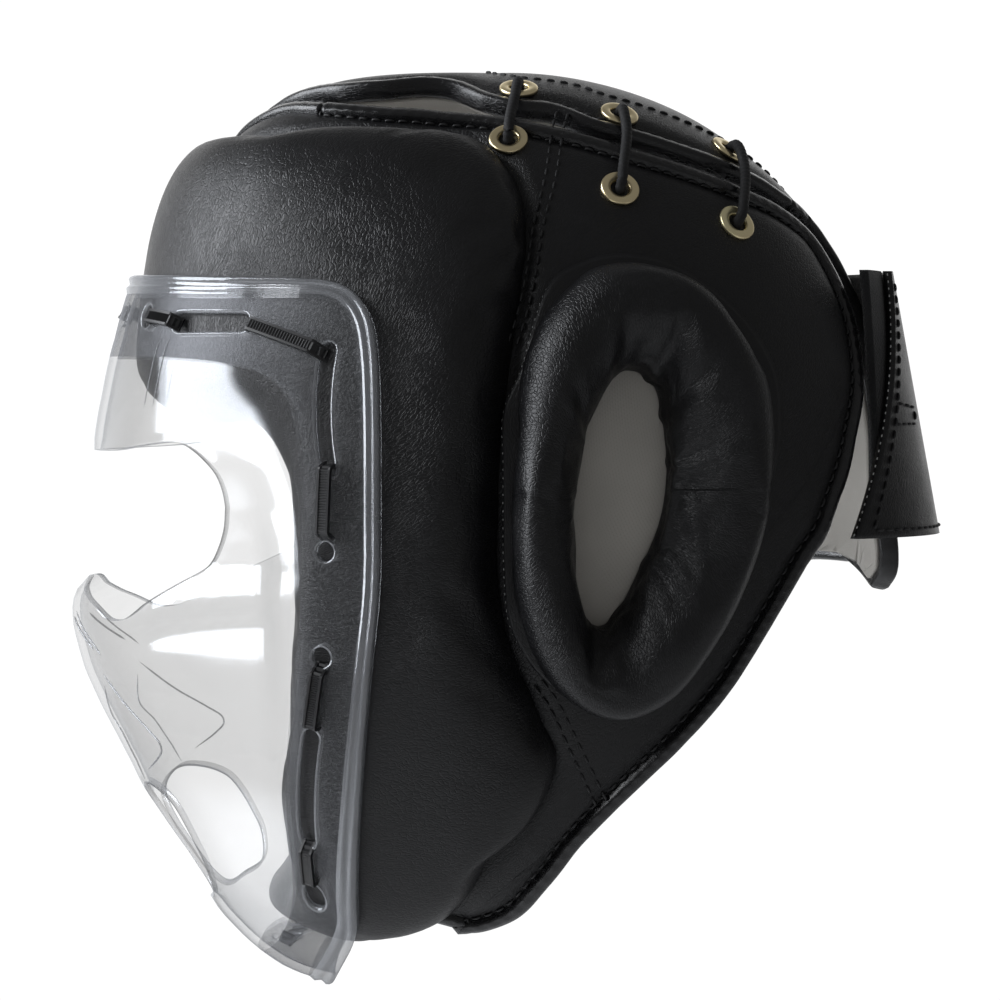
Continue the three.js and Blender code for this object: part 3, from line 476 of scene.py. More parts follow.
def even_by_length(points, count, closed=False):
    """Points at equal steps along a line."""
    if closed:
        points = np.vstack([points, points[:1]])
    run = length_run(points)
    at = np.linspace(0, run[-1], count, endpoint=not closed)
    return np.stack([np.interp(at, run, points[:, i]) for i in range(points.shape[1])], axis=-1)


def ripple(p, scale, seed=0.0):
    """Smooth, repeatable unevenness between -1 and 1 over points in mm."""
    q = p / scale
    waves = ((1.0, 0.37, -0.61), (-0.53, 1.1, 0.42), (0.28, -0.74, 1.23), (0.9, 0.8, 0.5))
    total = 0
    for i, (a, b, c) in enumerate(waves):
        phase = 1.7 * i + seed
        bend = np.sin(q[..., (i + 1) % 3] + seed)
        total = total + np.sin(a * q[..., 0] + b * q[..., 1] + c * q[..., 2] + phase + bend)
    return total / len(waves)


def new_mesh(name, verts, faces, material, replaces=(), uv=None, smooth_faces=True):
    """One piece from points in mm, with its material and the frame's nodes that it replaces."""
    mesh = bpy.data.meshes.new(name)
    mesh.from_pydata((np.asarray(verts) * MM).tolist(), [], faces)
    mesh.validate()
    if smooth_faces:
        mesh.polygons.foreach_set("use_smooth", [True] * len(mesh.polygons))
    if uv is not None:
        layer = mesh.uv_layers.new(name="grain")
        index = np.empty(len(mesh.loops), dtype=np.int32)
        mesh.loops.foreach_get("vertex_index", index)
        layer.data.foreach_set("uv", (np.asarray(uv)[index] * MM).ravel())
    mesh.update()
    obj = bpy.data.objects.new(name, mesh)
    bpy.context.scene.collection.objects.link(obj)
    obj.data.materials.append(material)
    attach(obj, "root")
    if replaces:
        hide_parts(*replaces)
    return obj


def grid_shell(front, back, closed=False, keep=None):
    """Vertices, faces and lengths for a layer between two grids of points; cells can be left out."""
    nu, nv = front.shape[:2]
    verts = np.concatenate([front.reshape(-1, 3), back.reshape(-1, 3)])
    half = nu * nv
    cells_u = nu if closed else nu - 1
    if keep is None:
        keep = np.ones((cells_u, nv - 1), bool)

    def at(i, j):
        return (i % nu) * nv + j

    faces = []
    for i in range(cells_u):
        for j in range(nv - 1):
            if not keep[i, j]:
                continue
            a, b, c, d = at(i, j), at(i + 1, j), at(i + 1, j + 1), at(i, j + 1)
            faces.append((a, b, c, d))
            faces.append((half + d, half + c, half + b, half + a))
            sides = (((i - 1, j), (d, a)), ((i + 1, j), (b, c)), ((i, j - 1), (a, b)), ((i, j + 1), (c, d)))
            for (x, y), (e, f) in sides:
                if closed:
                    x %= nu
                inside = 0 <= x < cells_u and 0 <= y < nv - 1
                if not inside or not keep[x, y]:
                    faces.append((f, e, half + e, half + f))
    along = np.cumsum(np.linalg.norm(front - np.roll(front, 1, axis=0), axis=-1).mean(axis=1))
    across = np.cumsum(np.linalg.norm(np.diff(front, axis=1), axis=-1), axis=1)
    across = np.concatenate([np.zeros((nu, 1)), across], axis=1)
    uv = np.stack([np.repeat(along[:, None], nv, axis=1), across], axis=-1).reshape(-1, 2)
    uv = np.concatenate([uv, uv])
    if keep.all():
        return verts, faces, uv
    used = np.unique([i for face in faces for i in face])
    place = np.zeros(len(verts), int)
    place[used] = np.arange(len(used))
    return verts[used], [tuple(place[list(face)].tolist()) for face in faces], uv[used]


def tube_grid(path, radius, sides=10, up=None):
    """Rings of points round a path; radius may vary along it."""
    tangent = unit(np.gradient(path, axis=0))
    ref = np.array(UPWARD) if up is None else up
    n1 = unit(np.cross(tangent, np.broadcast_to(ref, tangent.shape)) + 1e-9)
    n2 = np.cross(n1, tangent)
    a = np.linspace(0, 2 * math.pi, sides, endpoint=False)[None, :, None]
    radius = np.broadcast_to(radius, (len(path),))[:, None, None]
    return path[:, None] + radius * (np.cos(a) * n1[:, None] + np.sin(a) * n2[:, None])


def ring_faces(rings, closed=False, start=0):
    """Faces between rings of points; the ends are capped unless the last ring joins the first."""
    nu, nv = rings.shape[:2]
    faces = []
    for i in range(nu if closed else nu - 1):
        k = (i + 1) % nu
        for j in range(nv):
            m = (j + 1) % nv
            faces.append((start + i * nv + j, start + i * nv + m, start + k * nv + m, start + k * nv + j))
    if not closed:
        faces.append(tuple(start + j for j in range(nv))[::-1])
        faces.append(tuple(start + (nu - 1) * nv + j for j in range(nv)))
    return faces


def ring_uv(rings):
    """Lengths along and round rings of points, in mm."""
    run = np.cumsum(np.linalg.norm(rings - np.roll(rings, 1, axis=0), axis=-1).mean(axis=1))
    around = np.linalg.norm(rings - np.roll(rings, 1, axis=1), axis=-1).cumsum(axis=1)
    return np.stack([np.repeat(run[:, None], rings.shape[1], axis=1), around], axis=-1).reshape(-1, 2)


def tube_piece(name, path, radius, material, replaces=(), sides=12):
    """A round piece along a path."""
    rings = tube_grid(path, radius, sides)
    return new_mesh(name, rings.reshape(-1, 3), ring_faces(rings), material, replaces, ring_uv(rings))


def outward(d):
    """Normal of the head space along directions."""
    step = 0.004
    side, up = axes_round(d)
    pts = []
    for u, v in ((step, 0), (-step, 0), (0, step), (0, -step)):
        q = unit(d + u * side + v * up)
        pts.append(q * head_radius(q)[..., None])
    n = np.cross(pts[0] - pts[1], pts[2] - pts[3])
    return unit(n * np.sign(np.sum(n * d, axis=-1, keepdims=True)))


def stitches(name, lines, material, radius=None, length=None, pitch=None):
    """Threads laid along lines; each line is (points, normals) in mm."""
    radius = (radius or sizes().thread) / MM
    length = (length or sizes().stitch_length) / MM
    pitch = (pitch or sizes().stitch_pitch) / MM
    verts = []
    faces = []
    steps = 7
    sides = 6
    for points, normals in lines:
        run = length_run(points)
        count = int(run[-1] / pitch)
        for k in range(count):
            s = np.linspace(0, length, steps) + (k + 0.5) * run[-1] / count - length / 2
            p = np.stack([np.interp(s, run, points[:, i]) for i in range(3)], axis=-1)
            n = unit(np.stack([np.interp(s, run, normals[:, i]) for i in range(3)], axis=-1))
            t = np.linspace(-1, 1, steps)
            p = p + n * (radius * (0.75 - 1.5 * t ** 4))[:, None]
            thick = radius * np.sqrt(np.clip(1 - 0.75 * t ** 6, 0.1, 1))
            rings = tube_grid(p, thick, sides, n[3])
            faces += ring_faces(rings, False, len(verts))
            verts += rings.reshape(-1, 3).tolist()
    return new_mesh(name, verts, faces, material, ())


class Nodes:
    """Short way to make and join shader nodes."""

    def __init__(self, name):
        self.material = bpy.data.materials.get(name) or bpy.data.materials.new(name)
        self.material.use_nodes = True
        self.tree = self.material.node_tree
        self.tree.nodes.clear()

    def add(self, kind, inputs=None, **settings):
        """One node; an input may be a value or another node's output."""
        node = self.tree.nodes.new("ShaderNode" + kind)
        for key, value in settings.items():
            setattr(node, key, value)
        for key, value in (inputs or {}).items():
            if isinstance(value, bpy.types.NodeSocket):
                self.tree.links.new(value, node.inputs[key])
            else:
                node.inputs[key].default_value = value
        return node

    def math(self, operation, a, b):
        return self.add("Math", {0: a, 1: b}, operation=operation).outputs[0]

    def blend(self, factor, a, b):
        """A mix of two colours, at the Mix node's colour sockets."""
        return self.add("Mix", {0: factor, 6: a, 7: b}, data_type="RGBA").outputs[2]

    def noise(self, place, scale, detail, roughness=0.5):
        inputs = {"Vector": place, "Scale": scale, "Detail": detail, "Roughness": roughness}
        return self.add("TexNoise", inputs).outputs[0]

    def bump(self, height, strength, distance):
        return self.add("Bump", {"Height": height, "Strength": strength, "Distance": distance}).outputs[0]

    def span(self, value, low, high, start, end, **settings):
        """Takes a value between low and high to between start and end."""
        return self.add("MapRange", {0: value, 1: low, 2: high, 3: start, 4: end}, **settings).outputs[0]

    def ramp(self, factor, stops):
        """A grey between stops of position and value."""
        node = self.add("ValToRGB", {0: factor})
        while len(node.color_ramp.elements) < len(stops):
            node.color_ramp.elements.new(0.5)
        for element, (position, value) in zip(node.color_ramp.elements, stops):
            element.position = position
            element.color = (value, value, value, 1)
        return node.outputs[0]

    def finish(self, surface):
        self.add("OutputMaterial", {"Surface": surface})
        return self.material


def rgba(colour, gain=1.0):
    """A colour for a socket, made lighter or darker."""
    return (colour[0] * gain, colour[1] * gain, colour[2] * gain, 1)


def leather_material(name, colour, roughness, depth_share, gloss=0.0, pitch_share=1.0):
    """Coated leather: wrinkle cells and folds along the surface, stronger in some patches than in others."""
    n = Nodes(name)
    s = sizes()
    pitch = s.grain * pitch_share
    uv = n.add("UVMap", uv_map="grain").outputs[0]
    place = n.add("TexCoord").outputs["Object"]
    # Broad patches in which the wrinkles are stronger or weaker and turn.
    patch = n.noise(place, 22.0, 2.0)
    warp = n.add("TexNoise", {"Vector": place, "Scale": 60.0, "Detail": 3.0}).outputs["Color"]
    shift = n.add("VectorMath", {0: warp, 1: (0.5, 0.5, 0.5)}, operation="SUBTRACT").outputs[0]
    shift = n.add("VectorMath", {0: shift, "Scale": 0.006}, operation="SCALE").outputs[0]
    bent = n.add("VectorMath", {0: uv, 1: shift}, operation="ADD").outputs[0]
    stretched = n.add("VectorMath", {0: bent, 1: (1.0, 2.3, 1.0)}, operation="MULTIPLY").outputs[0]
    voronoi = {"Vector": stretched, "Scale": 0.5 / pitch, "Randomness": 1.0}
    cells = n.add("TexVoronoi", voronoi, feature="DISTANCE_TO_EDGE").outputs["Distance"]
    fine = n.noise(stretched, 1.6 / pitch, 4.0, 0.6)
    folds = n.noise(stretched, 0.28 / pitch, 2.0)
    creases = n.span(cells, 0.0, 0.16, 0.0, 1.0, interpolation_type="SMOOTHSTEP")
    height = n.math("ADD", n.math("MULTIPLY", creases, 0.55), n.math("MULTIPLY", fine, 0.5))
    height = n.math("ADD", height, n.math("MULTIPLY", folds, 0.8))
    height = n.math("MULTIPLY", height, n.span(patch, 0.35, 0.65, 0.45, 1.0))
    bump = n.bump(height, 0.85, s.grain_depth * depth_share)
    worn = n.noise(place, 45.0, 5.0, 0.65)
    tone = n.blend(n.ramp(worn, [(0.35, 0.0), (0.75, 1.0)]), rgba(colour, 0.82), rgba(colour, 1.35))
    # The grain's crease lines are painted darker: painted shade in the grooves.
    tone = n.blend(n.math("MULTIPLY", n.math("SUBTRACT", 1.0, creases), 0.5), tone, rgba(colour, 0.5))
    rough = n.span(worn, 0.3, 0.7, roughness - 0.05, roughness + 0.07)
    shader = n.add(
        "BsdfPrincipled",
        {
            "Base Color": tone, "Roughness": rough, "Normal": bump, "Specular IOR Level": 0.4,
            "Coat Weight": gloss, "Coat Roughness": 0.22,
        },
    )
    return n.finish(shader.outputs[0])


def plain_material(name, colour, roughness, bump_scale, bump_depth, metallic=0.0, sheen=0.0):
    """One colour with fine bumps and broad, slight changes of tone and gloss."""
    n = Nodes(name)
    place = n.add("TexCoord").outputs["Object"]
    noise = n.noise(place, bump_scale, 3.0)
    broad = n.noise(place, bump_scale * 0.07, 3.0)
    bump = n.bump(noise, 0.6, bump_depth)
    tone = n.blend(n.ramp(broad, [(0.35, 0.0), (0.7, 1.0)]), rgba(colour, 0.85), rgba(colour, 1.15))
    rough = n.span(broad, 0.3, 0.7, roughness * 0.85, roughness * 1.15)
    shader = n.add(
        "BsdfPrincipled",
        {
            "Base Color": tone, "Roughness": rough, "Metallic": metallic, "Normal": bump,
            "Sheen Weight": sheen, "Sheen Roughness": 0.5,
        },
    )
    return n.finish(shader.outputs[0])


def lining_material():
    """Woven lining with a little fuzz."""
    n = Nodes("lining")
    uv = n.add("UVMap", uv_map="grain").outputs[0]
    place = n.add("TexCoord").outputs["Object"]
    thread = {"Vector": uv, "Scale": 330.0, "Distortion": 0.6, "Detail": 1.0}
    warp, weft = (n.add("TexWave", thread, bands_direction=way).outputs["Fac"] for way in "XY")
    weave = n.math("MULTIPLY", warp, weft)
    fuzz = n.noise(place, 500.0, 4.0)
    height = n.math("ADD", weave, n.math("MULTIPLY", fuzz, 0.5))
    bump = n.bump(height, 0.5, 0.00012)
    broad = n.noise(place, 30.0, 3.0)
    c = colours().lining
    tone = n.blend(n.ramp(broad, [(0.3, 0.0), (0.7, 1.0)]), rgba(c, 0.88), rgba(c, 1.1))
    shader = n.add(
        "BsdfPrincipled",
        {"Base Color": tone, "Roughness": 0.9, "Normal": bump, "Sheen Weight": 0.25, "Sheen Roughness": 0.5},
    )
    return n.finish(shader.outputs[0])


def clear_material():
    """Clear plastic: mostly passes light, shines on its faces and greys where it is seen edge on."""
    n = Nodes("clear_plastic")
    place = n.add("TexCoord").outputs["Object"]
    facing = n.add("LayerWeight", {"Blend": 0.5}).outputs["Facing"]
    grey = n.ramp(facing, [(0.0, 0.95), (0.5, 0.93), (0.8, 0.85), (0.93, 0.6), (1.0, 0.3)])
    through = n.add("BsdfTransparent", {"Color": grey})
    bump = n.bump(n.noise(place, 14.0, 1.0), 0.2, 0.0004)
    shine = n.add("BsdfGlossy", {"Color": (0.95, 0.97, 1.0, 1), "Roughness": 0.1, "Normal": bump})
    amount = n.ramp(facing, [(0.0, 0.05), (0.5, 0.08), (0.75, 0.14), (0.9, 0.35), (1.0, 0.85)])
    body = n.add("MixShader", {0: amount, 1: through.outputs[0], 2: shine.outputs[0]})
    return n.finish(body.outputs[0])


def frost_material():
    """Sanded flange: scatters light, with the pad showing dark through it."""
    n = Nodes("frosted_plastic")
    place = n.add("TexCoord").outputs["Object"]
    speck = n.noise(place, 1300.0, 2.0, 0.6)
    broad = n.noise(place, 40.0, 3.0)
    bump = n.bump(speck, 0.6, 0.0002)
    facing = n.add("LayerWeight", {"Blend": 0.5}).outputs["Facing"]
    through = n.add("BsdfTransparent", {"Color": n.ramp(facing, [(0.0, 0.9), (0.8, 0.6), (1.0, 0.3)])})
    milk = n.add("BsdfDiffuse", {"Color": rgba(colours().frost), "Normal": bump})
    shine = n.add("BsdfGlossy", {"Color": (0.9, 0.92, 0.98, 1), "Roughness": 0.3, "Normal": bump})
    amount = n.math("ADD", n.ramp(speck, [(0.45, 0.01), (0.62, 0.1)]), n.math("MULTIPLY", broad, 0.02))
    body = n.add("MixShader", {0: amount, 1: through.outputs[0], 2: milk.outputs[0]})
    gloss = n.ramp(facing, [(0.0, 0.018), (0.5, 0.03), (0.8, 0.1), (1.0, 0.4)])
    mixed = n.add("MixShader", {0: gloss, 1: body.outputs[0], 2: shine.outputs[0]})
    return n.finish(mixed.outputs[0])


def rim_material():
    """Cut and rolled edges of the clear plastic, which gather light."""
    n = Nodes("clear_rim")
    place = n.add("TexCoord").outputs["Object"]
    bump = n.bump(n.noise(place, 160.0, 3.0), 0.4, 0.0003)
    facing = n.add("LayerWeight", {"Blend": 0.5}).outputs["Facing"]
    through = n.add("BsdfTransparent", {"Color": n.ramp(facing, [(0.0, 0.8), (0.6, 0.55), (1.0, 0.3)])})
    shine = n.add("BsdfGlossy", {"Color": (0.95, 0.97, 1, 1), "Roughness": 0.12, "Normal": bump})
    milk = n.add("BsdfDiffuse", {"Color": (0.7, 0.72, 0.76, 1)})
    body = n.add("MixShader", {0: 0.14, 1: through.outputs[0], 2: milk.outputs[0]})
    gloss = n.ramp(facing, [(0.0, 0.06), (0.5, 0.1), (0.8, 0.25), (1.0, 0.7)])
    mixed = n.add("MixShader", {0: gloss, 1: body.outputs[0], 2: shine.outputs[0]})
    return n.finish(mixed.outputs[0])


def material(name):
    """One of the materials that the materials operator makes."""
    return bpy.data.materials[name]


def puff(obj, pinned, pressure, slack, cap, limit=None, frames=20):
    """Swells a closed padded mesh with cloth under pressure; pinned points stay, the rest move at most cap."""
    start = np.array([v.co for v in obj.data.vertices])
    group = obj.vertex_groups.new(name="seam")
    for weight in np.unique(pinned):
        if weight > 0:
            group.add(np.flatnonzero(pinned == weight).tolist(), float(weight), "REPLACE")
    cloth = obj.modifiers.new("swell", "CLOTH")
    c = cloth.settings
    c.quality = 6
    c.mass = 0.15
    c.tension_stiffness = 15
    c.compression_stiffness = 15
    c.shear_stiffness = 5
    c.bending_stiffness = 0.4
    c.use_pressure = True
    c.uniform_pressure_force = pressure
    c.effector_weights.gravity = 0
    c.vertex_group_mass = "seam"
    c.shrink_min = -slack
    cloth.collision_settings.use_collision = False
    cloth.point_cache.frame_start = 1
    cloth.point_cache.frame_end = frames
    scene = bpy.context.scene
    for f in range(1, frames + 1):
        scene.frame_set(f)
    graph = bpy.context.evaluated_depsgraph_get()
    done = obj.evaluated_get(graph).data
    moved = np.array([v.co for v in done.vertices]) - start
    far = np.linalg.norm(moved, axis=1, keepdims=True)
    moved *= np.minimum(1, cap * np.tanh(far / cap) / np.maximum(far, 1e-9))
    ended = start + moved
    if limit is not None:
        ended = limit(ended / MM) * MM
    obj.modifiers.remove(cloth)
    obj.vertex_groups.clear()
    obj.data.vertices.foreach_set("co", ended.ravel())
    obj.data.update()
    scene.frame_set(1)


def soften(obj):
    """Makes the mesh finer and rounder, once."""
    mod = obj.modifiers.new("finer", "SUBSURF")
    mod.levels = 1
    mod.render_levels = 1
    with bpy.context.temp_override(object=obj, active_object=obj, selected_objects=[obj]):
        bpy.ops.object.modifier_apply(modifier=mod.name)


def pad_floor(d):
    """Distance in mm to the inner face of the face frame's lining."""
    return head_radius(d) + chin_pull(d)


def under_mask(d, gap):
    """Most distance in mm that the pad may have; it keeps a gap to the mask where that lies over it."""
    return np.where(up_of(d) < MASKED_BELOW, mask_radius(d) - MASK_WALL - gap, 1e6)


def pad_rows(count):
    """Edge of the face opening and the rear seam, round both sides."""
    half = np.array(PAD_ROWS, float)
    a = rays(half[:, :2])
    b = rays(half[:, 2:])
    a = np.vstack([a, a[-2:0:-1] * MIRROR])
    b = np.vstack([b, b[-2:0:-1] * MIRROR])
    return unit(curve_through(a, count, True)), unit(curve_through(b, count, True))


def pad_grid(count, shares, fulls):
    """Directions over the pad, with its inner and outer distance; fulls are shares of its thickness."""
    a, b = pad_rows(count)
    t = np.asarray(shares)[None, :, None]
    d = slerp(a[:, None], b[:, None], t)
    base = pad_floor(d) + PANEL_START
    return d, base, np.minimum(base + PAD_THICK * np.asarray(fulls)[None], under_mask(d, 0.5))


def keep_pad_clear(p):
    """Moves points of the pad between its lining and the mask."""
    r = np.linalg.norm(p, axis=1, keepdims=True)
    d = p / r
    low = (pad_floor(d) + PANEL_START)[:, None]
    high = under_mask(d, 0.4)[:, None]
    return d * np.clip(r, low, np.maximum(low, high))


class GuardOperator:
    """Shared behaviour of the operators that build one group of pieces"""

    bl_options = {"REGISTER", "UNDO"}

    def execute(self, context):
        self.build()
        return {"FINISHED"}


class HEADGUARD_OT_materials(GuardOperator, bpy.types.Operator):
    """Make the leather, lining, plastic, metal and thread materials"""

    bl_idname = "head_guard.materials"
    bl_label = "Materials"

    def build(self):
        c = colours()
        leather_material("leather", c.leather, 0.36, 1.0)
        leather_material("leather_smooth", c.leather, 0.36, 0.45, 0.0, 1.3)
        leather_material("leather_binding", c.binding, 0.26, 0.5, 0.3, 0.8)
        plain_material("thread", c.thread, 0.6, 1800.0, 0.00006)
        # White for the real fibres at the ear flange and for the painted hook glints on the flap.
        plain_material("fibre_and_glint", c.fibre_and_glint, 0.95, 2200.0, 0.0002, 0.0, 0.3)
        plain_material("brass", c.brass, 0.3, 250.0, 0.00002, 1.0)
        plain_material("nylon", c.nylon, 0.38, 700.0, 0.00003)
        plain_material("cord", c.thread, 0.75, 1500.0, 0.0002)
        plain_material("loop", c.loop, 0.95, 1600.0, 0.0006, 0.0, 0.2)
        lining_material()
        clear_material()
        frost_material()
        rim_material()


class HEADGUARD_OT_face_pad(GuardOperator, bpy.types.Operator):
    """Build the padded face frame and its lining"""

    bl_idname = "head_guard.face_pad"
    bl_label = "Face frame pad"

    def build(self):
        count = 250
        t = curve_through(PAD_PROFILE, 27)
        d, base, top = pad_grid(count, t[:, 0], t[:, 1] * 0.97)
        wave = ripple(d * 100, 9.0) * 0.35 + ripple(d * 100, 3.3, 2.0) * 0.12
        edge = np.sin(np.pi * np.clip(t[:, 0], 0, 1)) ** 0.5
        top = np.minimum(top + wave * edge[None], under_mask(d, 0.4))
        verts, faces, uv = grid_shell(d * top[..., None], d * base[..., None], True)
        pad = new_mesh(
            "face_pad", verts, faces, material("leather"), ["face_frame_pad"], uv[:, ::-1]
        )
        pins = np.zeros((2, count, len(t)))
        pins[1] = 1
        pins[0, :, 0] = 1
        pins[0, :, -1] = 1
        puff(pad, pins.ravel(), 5.0, 0.015, sizes().pad_swell, keep_pad_clear)
        soften(pad)
        t = np.linspace(0.03, 0.97, 12)
        d, base, top = pad_grid(160, t, 0 * t)
        low = pad_floor(d)
        verts, faces, uv = grid_shell(d * (low + LINING_THICK)[..., None], d * low[..., None], True)
        new_mesh("face_lining", verts, faces, material("lining"), ["face_frame_lining"], uv)


def panel_edges(side):
    """Seam at the pad and outer edge of a side panel."""
    rows = np.array(PANEL_ROWS, float)
    seam = rays(rows[:, :2])
    edge = rays(rows[:, 2:])
    if side == RIGHT:
        seam = seam * MIRROR
        seam[FAR_SEAM_FROM:] = rays(FAR_SEAM)
        edge = rays(FAR_CROWN)
    return seam, edge


def panel_base(d, side):
    """Distance in mm to the inner face of a side panel's lining."""
    base = head_radius(d) + JAW_PULL * chin_pull(d)
    if side == LEFT:
        return base
    return base + CORNER_FLARE * smooth((4 - up_of(d)) / 16) * smooth((-round_of(d) - 148) / 14)


def panel_rows(side, count):
    """Finer seam and edge of a panel, and the table row of each point."""
    seam, edge = panel_edges(side)
    row = np.linspace(0, len(seam) - 1, count)
    return unit(curve_through(seam, count)), unit(curve_through(edge, count)), row


def inset(edge, other, width):
    """Share of the way from one edge to the other at which a line is a width away from the first."""
    tangent = unit(np.gradient(edge, axis=0))
    across = other - edge
    across = unit(across - edge * np.sum(edge * across, axis=-1, keepdims=True))
    slant = np.sqrt(np.maximum(0, 1 - np.sum(across * tangent, axis=-1) ** 2))
    span = np.arccos(np.clip(np.sum(edge * other, axis=-1), -1, 1))
    return width / head_radius(edge) / np.maximum(0.45, slant) / np.maximum(span, 1e-6)


def around_ear(outline, count):
    """Directions along an outline round the ear at even turns, and the turns."""
    centre = rays(EAR_CENTRE)
    side, up = axes_round(centre)
    d = rays(outline)
    a = np.arctan2(d @ up, d @ side)
    r = np.arccos(np.clip(d @ centre, -1, 1))
    order = np.argsort(a)
    a = a[order]
    r = r[order]
    ring = np.stack([np.cos(a) * r, np.sin(a) * r], axis=-1)
    fine = curve_through(ring, count * 4, True)
    fa = np.arctan2(fine[:, 1], fine[:, 0])
    fr = np.hypot(fine[:, 0], fine[:, 1])
    turn = np.linspace(0, 2 * math.pi, count, endpoint=False)
    order = np.argsort(fa)
    r = np.interp(turn, fa[order], fr[order], period=2 * math.pi)[:, None]
    spoke = side * np.cos(turn)[:, None] + up * np.sin(turn)[:, None]
    return centre * np.cos(r) + spoke * np.sin(r), turn


def in_ear_hole(d, side, share):
    """Whether directions lie in a line that is a share of the way from the ring's outline to the hole."""
    ring, turn = around_ear(EAR_RING, 120)
    hole = slerp(ring, around_ear(EAR_HOLE, 120)[0], share)
    centre = rays(EAR_CENTRE)
    x, y = axes_round(centre)
    q = d * FLIP[side]
    a = np.arctan2(q @ y, q @ x)
    limit = np.interp(a, turn, np.arccos(np.clip(hole @ centre, -1, 1)), period=2 * math.pi)
    return np.arccos(np.clip(q @ centre, -1, 1)) < limit


def cell_middles(d):
    """Directions to the middles of a grid's cells."""
    return unit(d[:-1, :-1] + d[1:, :-1] + d[:-1, 1:] + d[1:, 1:])


def panel_surface(d, off, side):
    """Points of a panel layer at a height above the lining's inner face."""
    return d * (panel_base(d, side) + off)[..., None]


class HEADGUARD_OT_panels(GuardOperator, bpy.types.Operator):
    """Build the side panels, their lining and the stitched edge binding"""

    bl_idname = "head_guard.panels"
    bl_label = "Side panels"

    def build(self):
        for side, word in SIDES:
            seam, edge, row = panel_rows(side, 300)
            width = sizes().binding_width / MM
            flip = FLIP[side]
            # Columns closer together at the edges.
            t = np.linspace(0, 1, 44)
            t = 0.5 - 0.5 * np.cos(np.pi * t) * 0.35 - 0.5 * (1 - 2 * t) * 0.65
            full = slerp(seam[:, None], edge[:, None], (-0.12 + 1.12 * t)[None, :, None])
            loop = self.outline(seam, edge, row, width, -1.6, flip)
            d, gap, keep = trimmed(full, loop, flip)
            swell = smooth(gap / 7.0)
            off = PANEL_END - 1.6 + 2.0 * swell + 0.28 * ripple(d * 100, 8.0, 1.0 + side) * swell
            front = panel_surface(d, off, side)
            back = panel_surface(d, 0 * off + PANEL_START, side)
            keep &= ~in_ear_hole(cell_middles(d), side, 0.86)
            verts, faces, uv = grid_shell(front, back, False, keep)
            panel = new_mesh(
                "panel_" + word, verts, faces, material("leather"), ["side_panel_" + word],
                uv[:, ::-1],
            )
            soften(panel)
            loop = self.outline(seam, edge, row, width, 1.5, flip)
            d, gap, keep = trimmed(full[::2, ::2], loop, flip)
            inner = panel_surface(d, 0, side)
            outer = panel_surface(d, LINING_THICK, side)
            verts, faces, uv = grid_shell(outer, inner, False, keep)
            new_mesh(
                "lining_" + word, verts, faces, material("lining"), ["side_lining_" + word], uv
            )
            self.binding(side, word, seam, edge, row, width)

    def outline(self, seam, edge, row, width, tuck, flip):
        """The panel's edge in a flat sheet: under the pad by the seam, inside the binding elsewhere."""
        lower = smooth((row - PAD_SEAM_ROWS + 0.35) / 0.3)
        under = np.where(tuck < 0, tuck - 4.0 * smooth((row - 16) / 3), tuck)
        share = inset(seam, edge, width / 2) * lower + inset(seam, edge, 1.0) * under * (1 - lower)
        low = slerp(seam, edge, share[:, None])
        high = slerp(edge, seam, inset(edge, seam, width / 2)[:, None])
        loop = flatten(np.vstack([low, high[::-1]]) * flip, EAR_CENTRE)
        return even_by_length(loop, 800, True)

    def binding(self, side, word, seam, edge, row, width):
        """The folded binding along the crown, rear and lower edges, and the stitches beside it."""
        crown = slerp(edge, seam, inset(edge, seam, width / 2)[:, None])
        pick = row > PAD_SEAM_ROWS - 0.2
        lower = slerp(seam, edge, inset(seam, edge, width / 2)[:, None])[pick][::-1]
        under = unit(lower[-1] + unit(lower[-1] - lower[-5]) * 0.055)
        line = even_by_length(np.vstack([crown, lower[1:], under]), 530)
        d = unit(line)
        thick = 6.0
        middle_off = PANEL_START - 0.6 + thick / 2
        path = d * (panel_base(d, side) + middle_off)[:, None]
        tangent = unit(np.gradient(path, axis=0))
        out = unit(d - tangent * np.sum(d * tangent, axis=-1, keepdims=True))
        across = np.cross(tangent, out)
        middle = unit(np.mean(d, axis=0))
        inward = np.sign(np.sum((slerp(d, np.broadcast_to(middle, d.shape), 0.02) - d) * across, axis=-1))
        sides = 22
        a = np.linspace(0, 2 * math.pi, sides, endpoint=False)
        x = np.sign(np.cos(a)) * np.abs(np.cos(a)) ** 0.6 * width / 2
        y = np.sign(np.sin(a)) * np.abs(np.sin(a)) ** 0.5 * thick / 2
        run = np.arange(len(path)) * np.linalg.norm(np.diff(path, axis=0), axis=1).mean()
        pitch = sizes().stitch_pitch / MM
        # The row of stitches draws the binding in, most at each stitch's end.
        sewn = np.exp(-(((x / (width / 2)) - 0.62) / 0.25) ** 2) * (y > 0)
        pucker = 0.22 * np.sin(run * 2 * math.pi / pitch) - 0.35
        wide = 1 + 0.05 * ripple(path, 4.0, 2.0)
        high = y[None] + sewn[None] * pucker[:, None] + 0.12 * ripple(path, 2.6)[:, None] * (y > 0)[None]
        rings = path[:, None] + (x[None] * wide[:, None] * inward[:, None])[..., None] * across[:, None]
        rings = rings + high[..., None] * out[:, None]
        if inward.mean() < 0:
            rings = rings[:, ::-1]
        new_mesh(
            "binding_" + word, rings.reshape(-1, 3), ring_faces(rings), material("leather_binding"),
            ["edge_binding_" + word], ring_uv(rings),
        )
        place = unit(path + across * (inward * (0.5 * width + 0.7))[:, None])
        self.sew("binding_stitches_" + word, [place], side, -0.75)
        self.seams(side, word, seam, edge, row)

    def sew(self, name, lines, side, rise):
        """Stitches along lines of directions, at a rise above the panel."""
        rows = [(d * (panel_base(d, side) + PANEL_END + rise)[:, None], d) for d in lines]
        stitches(name, rows, material("thread"))

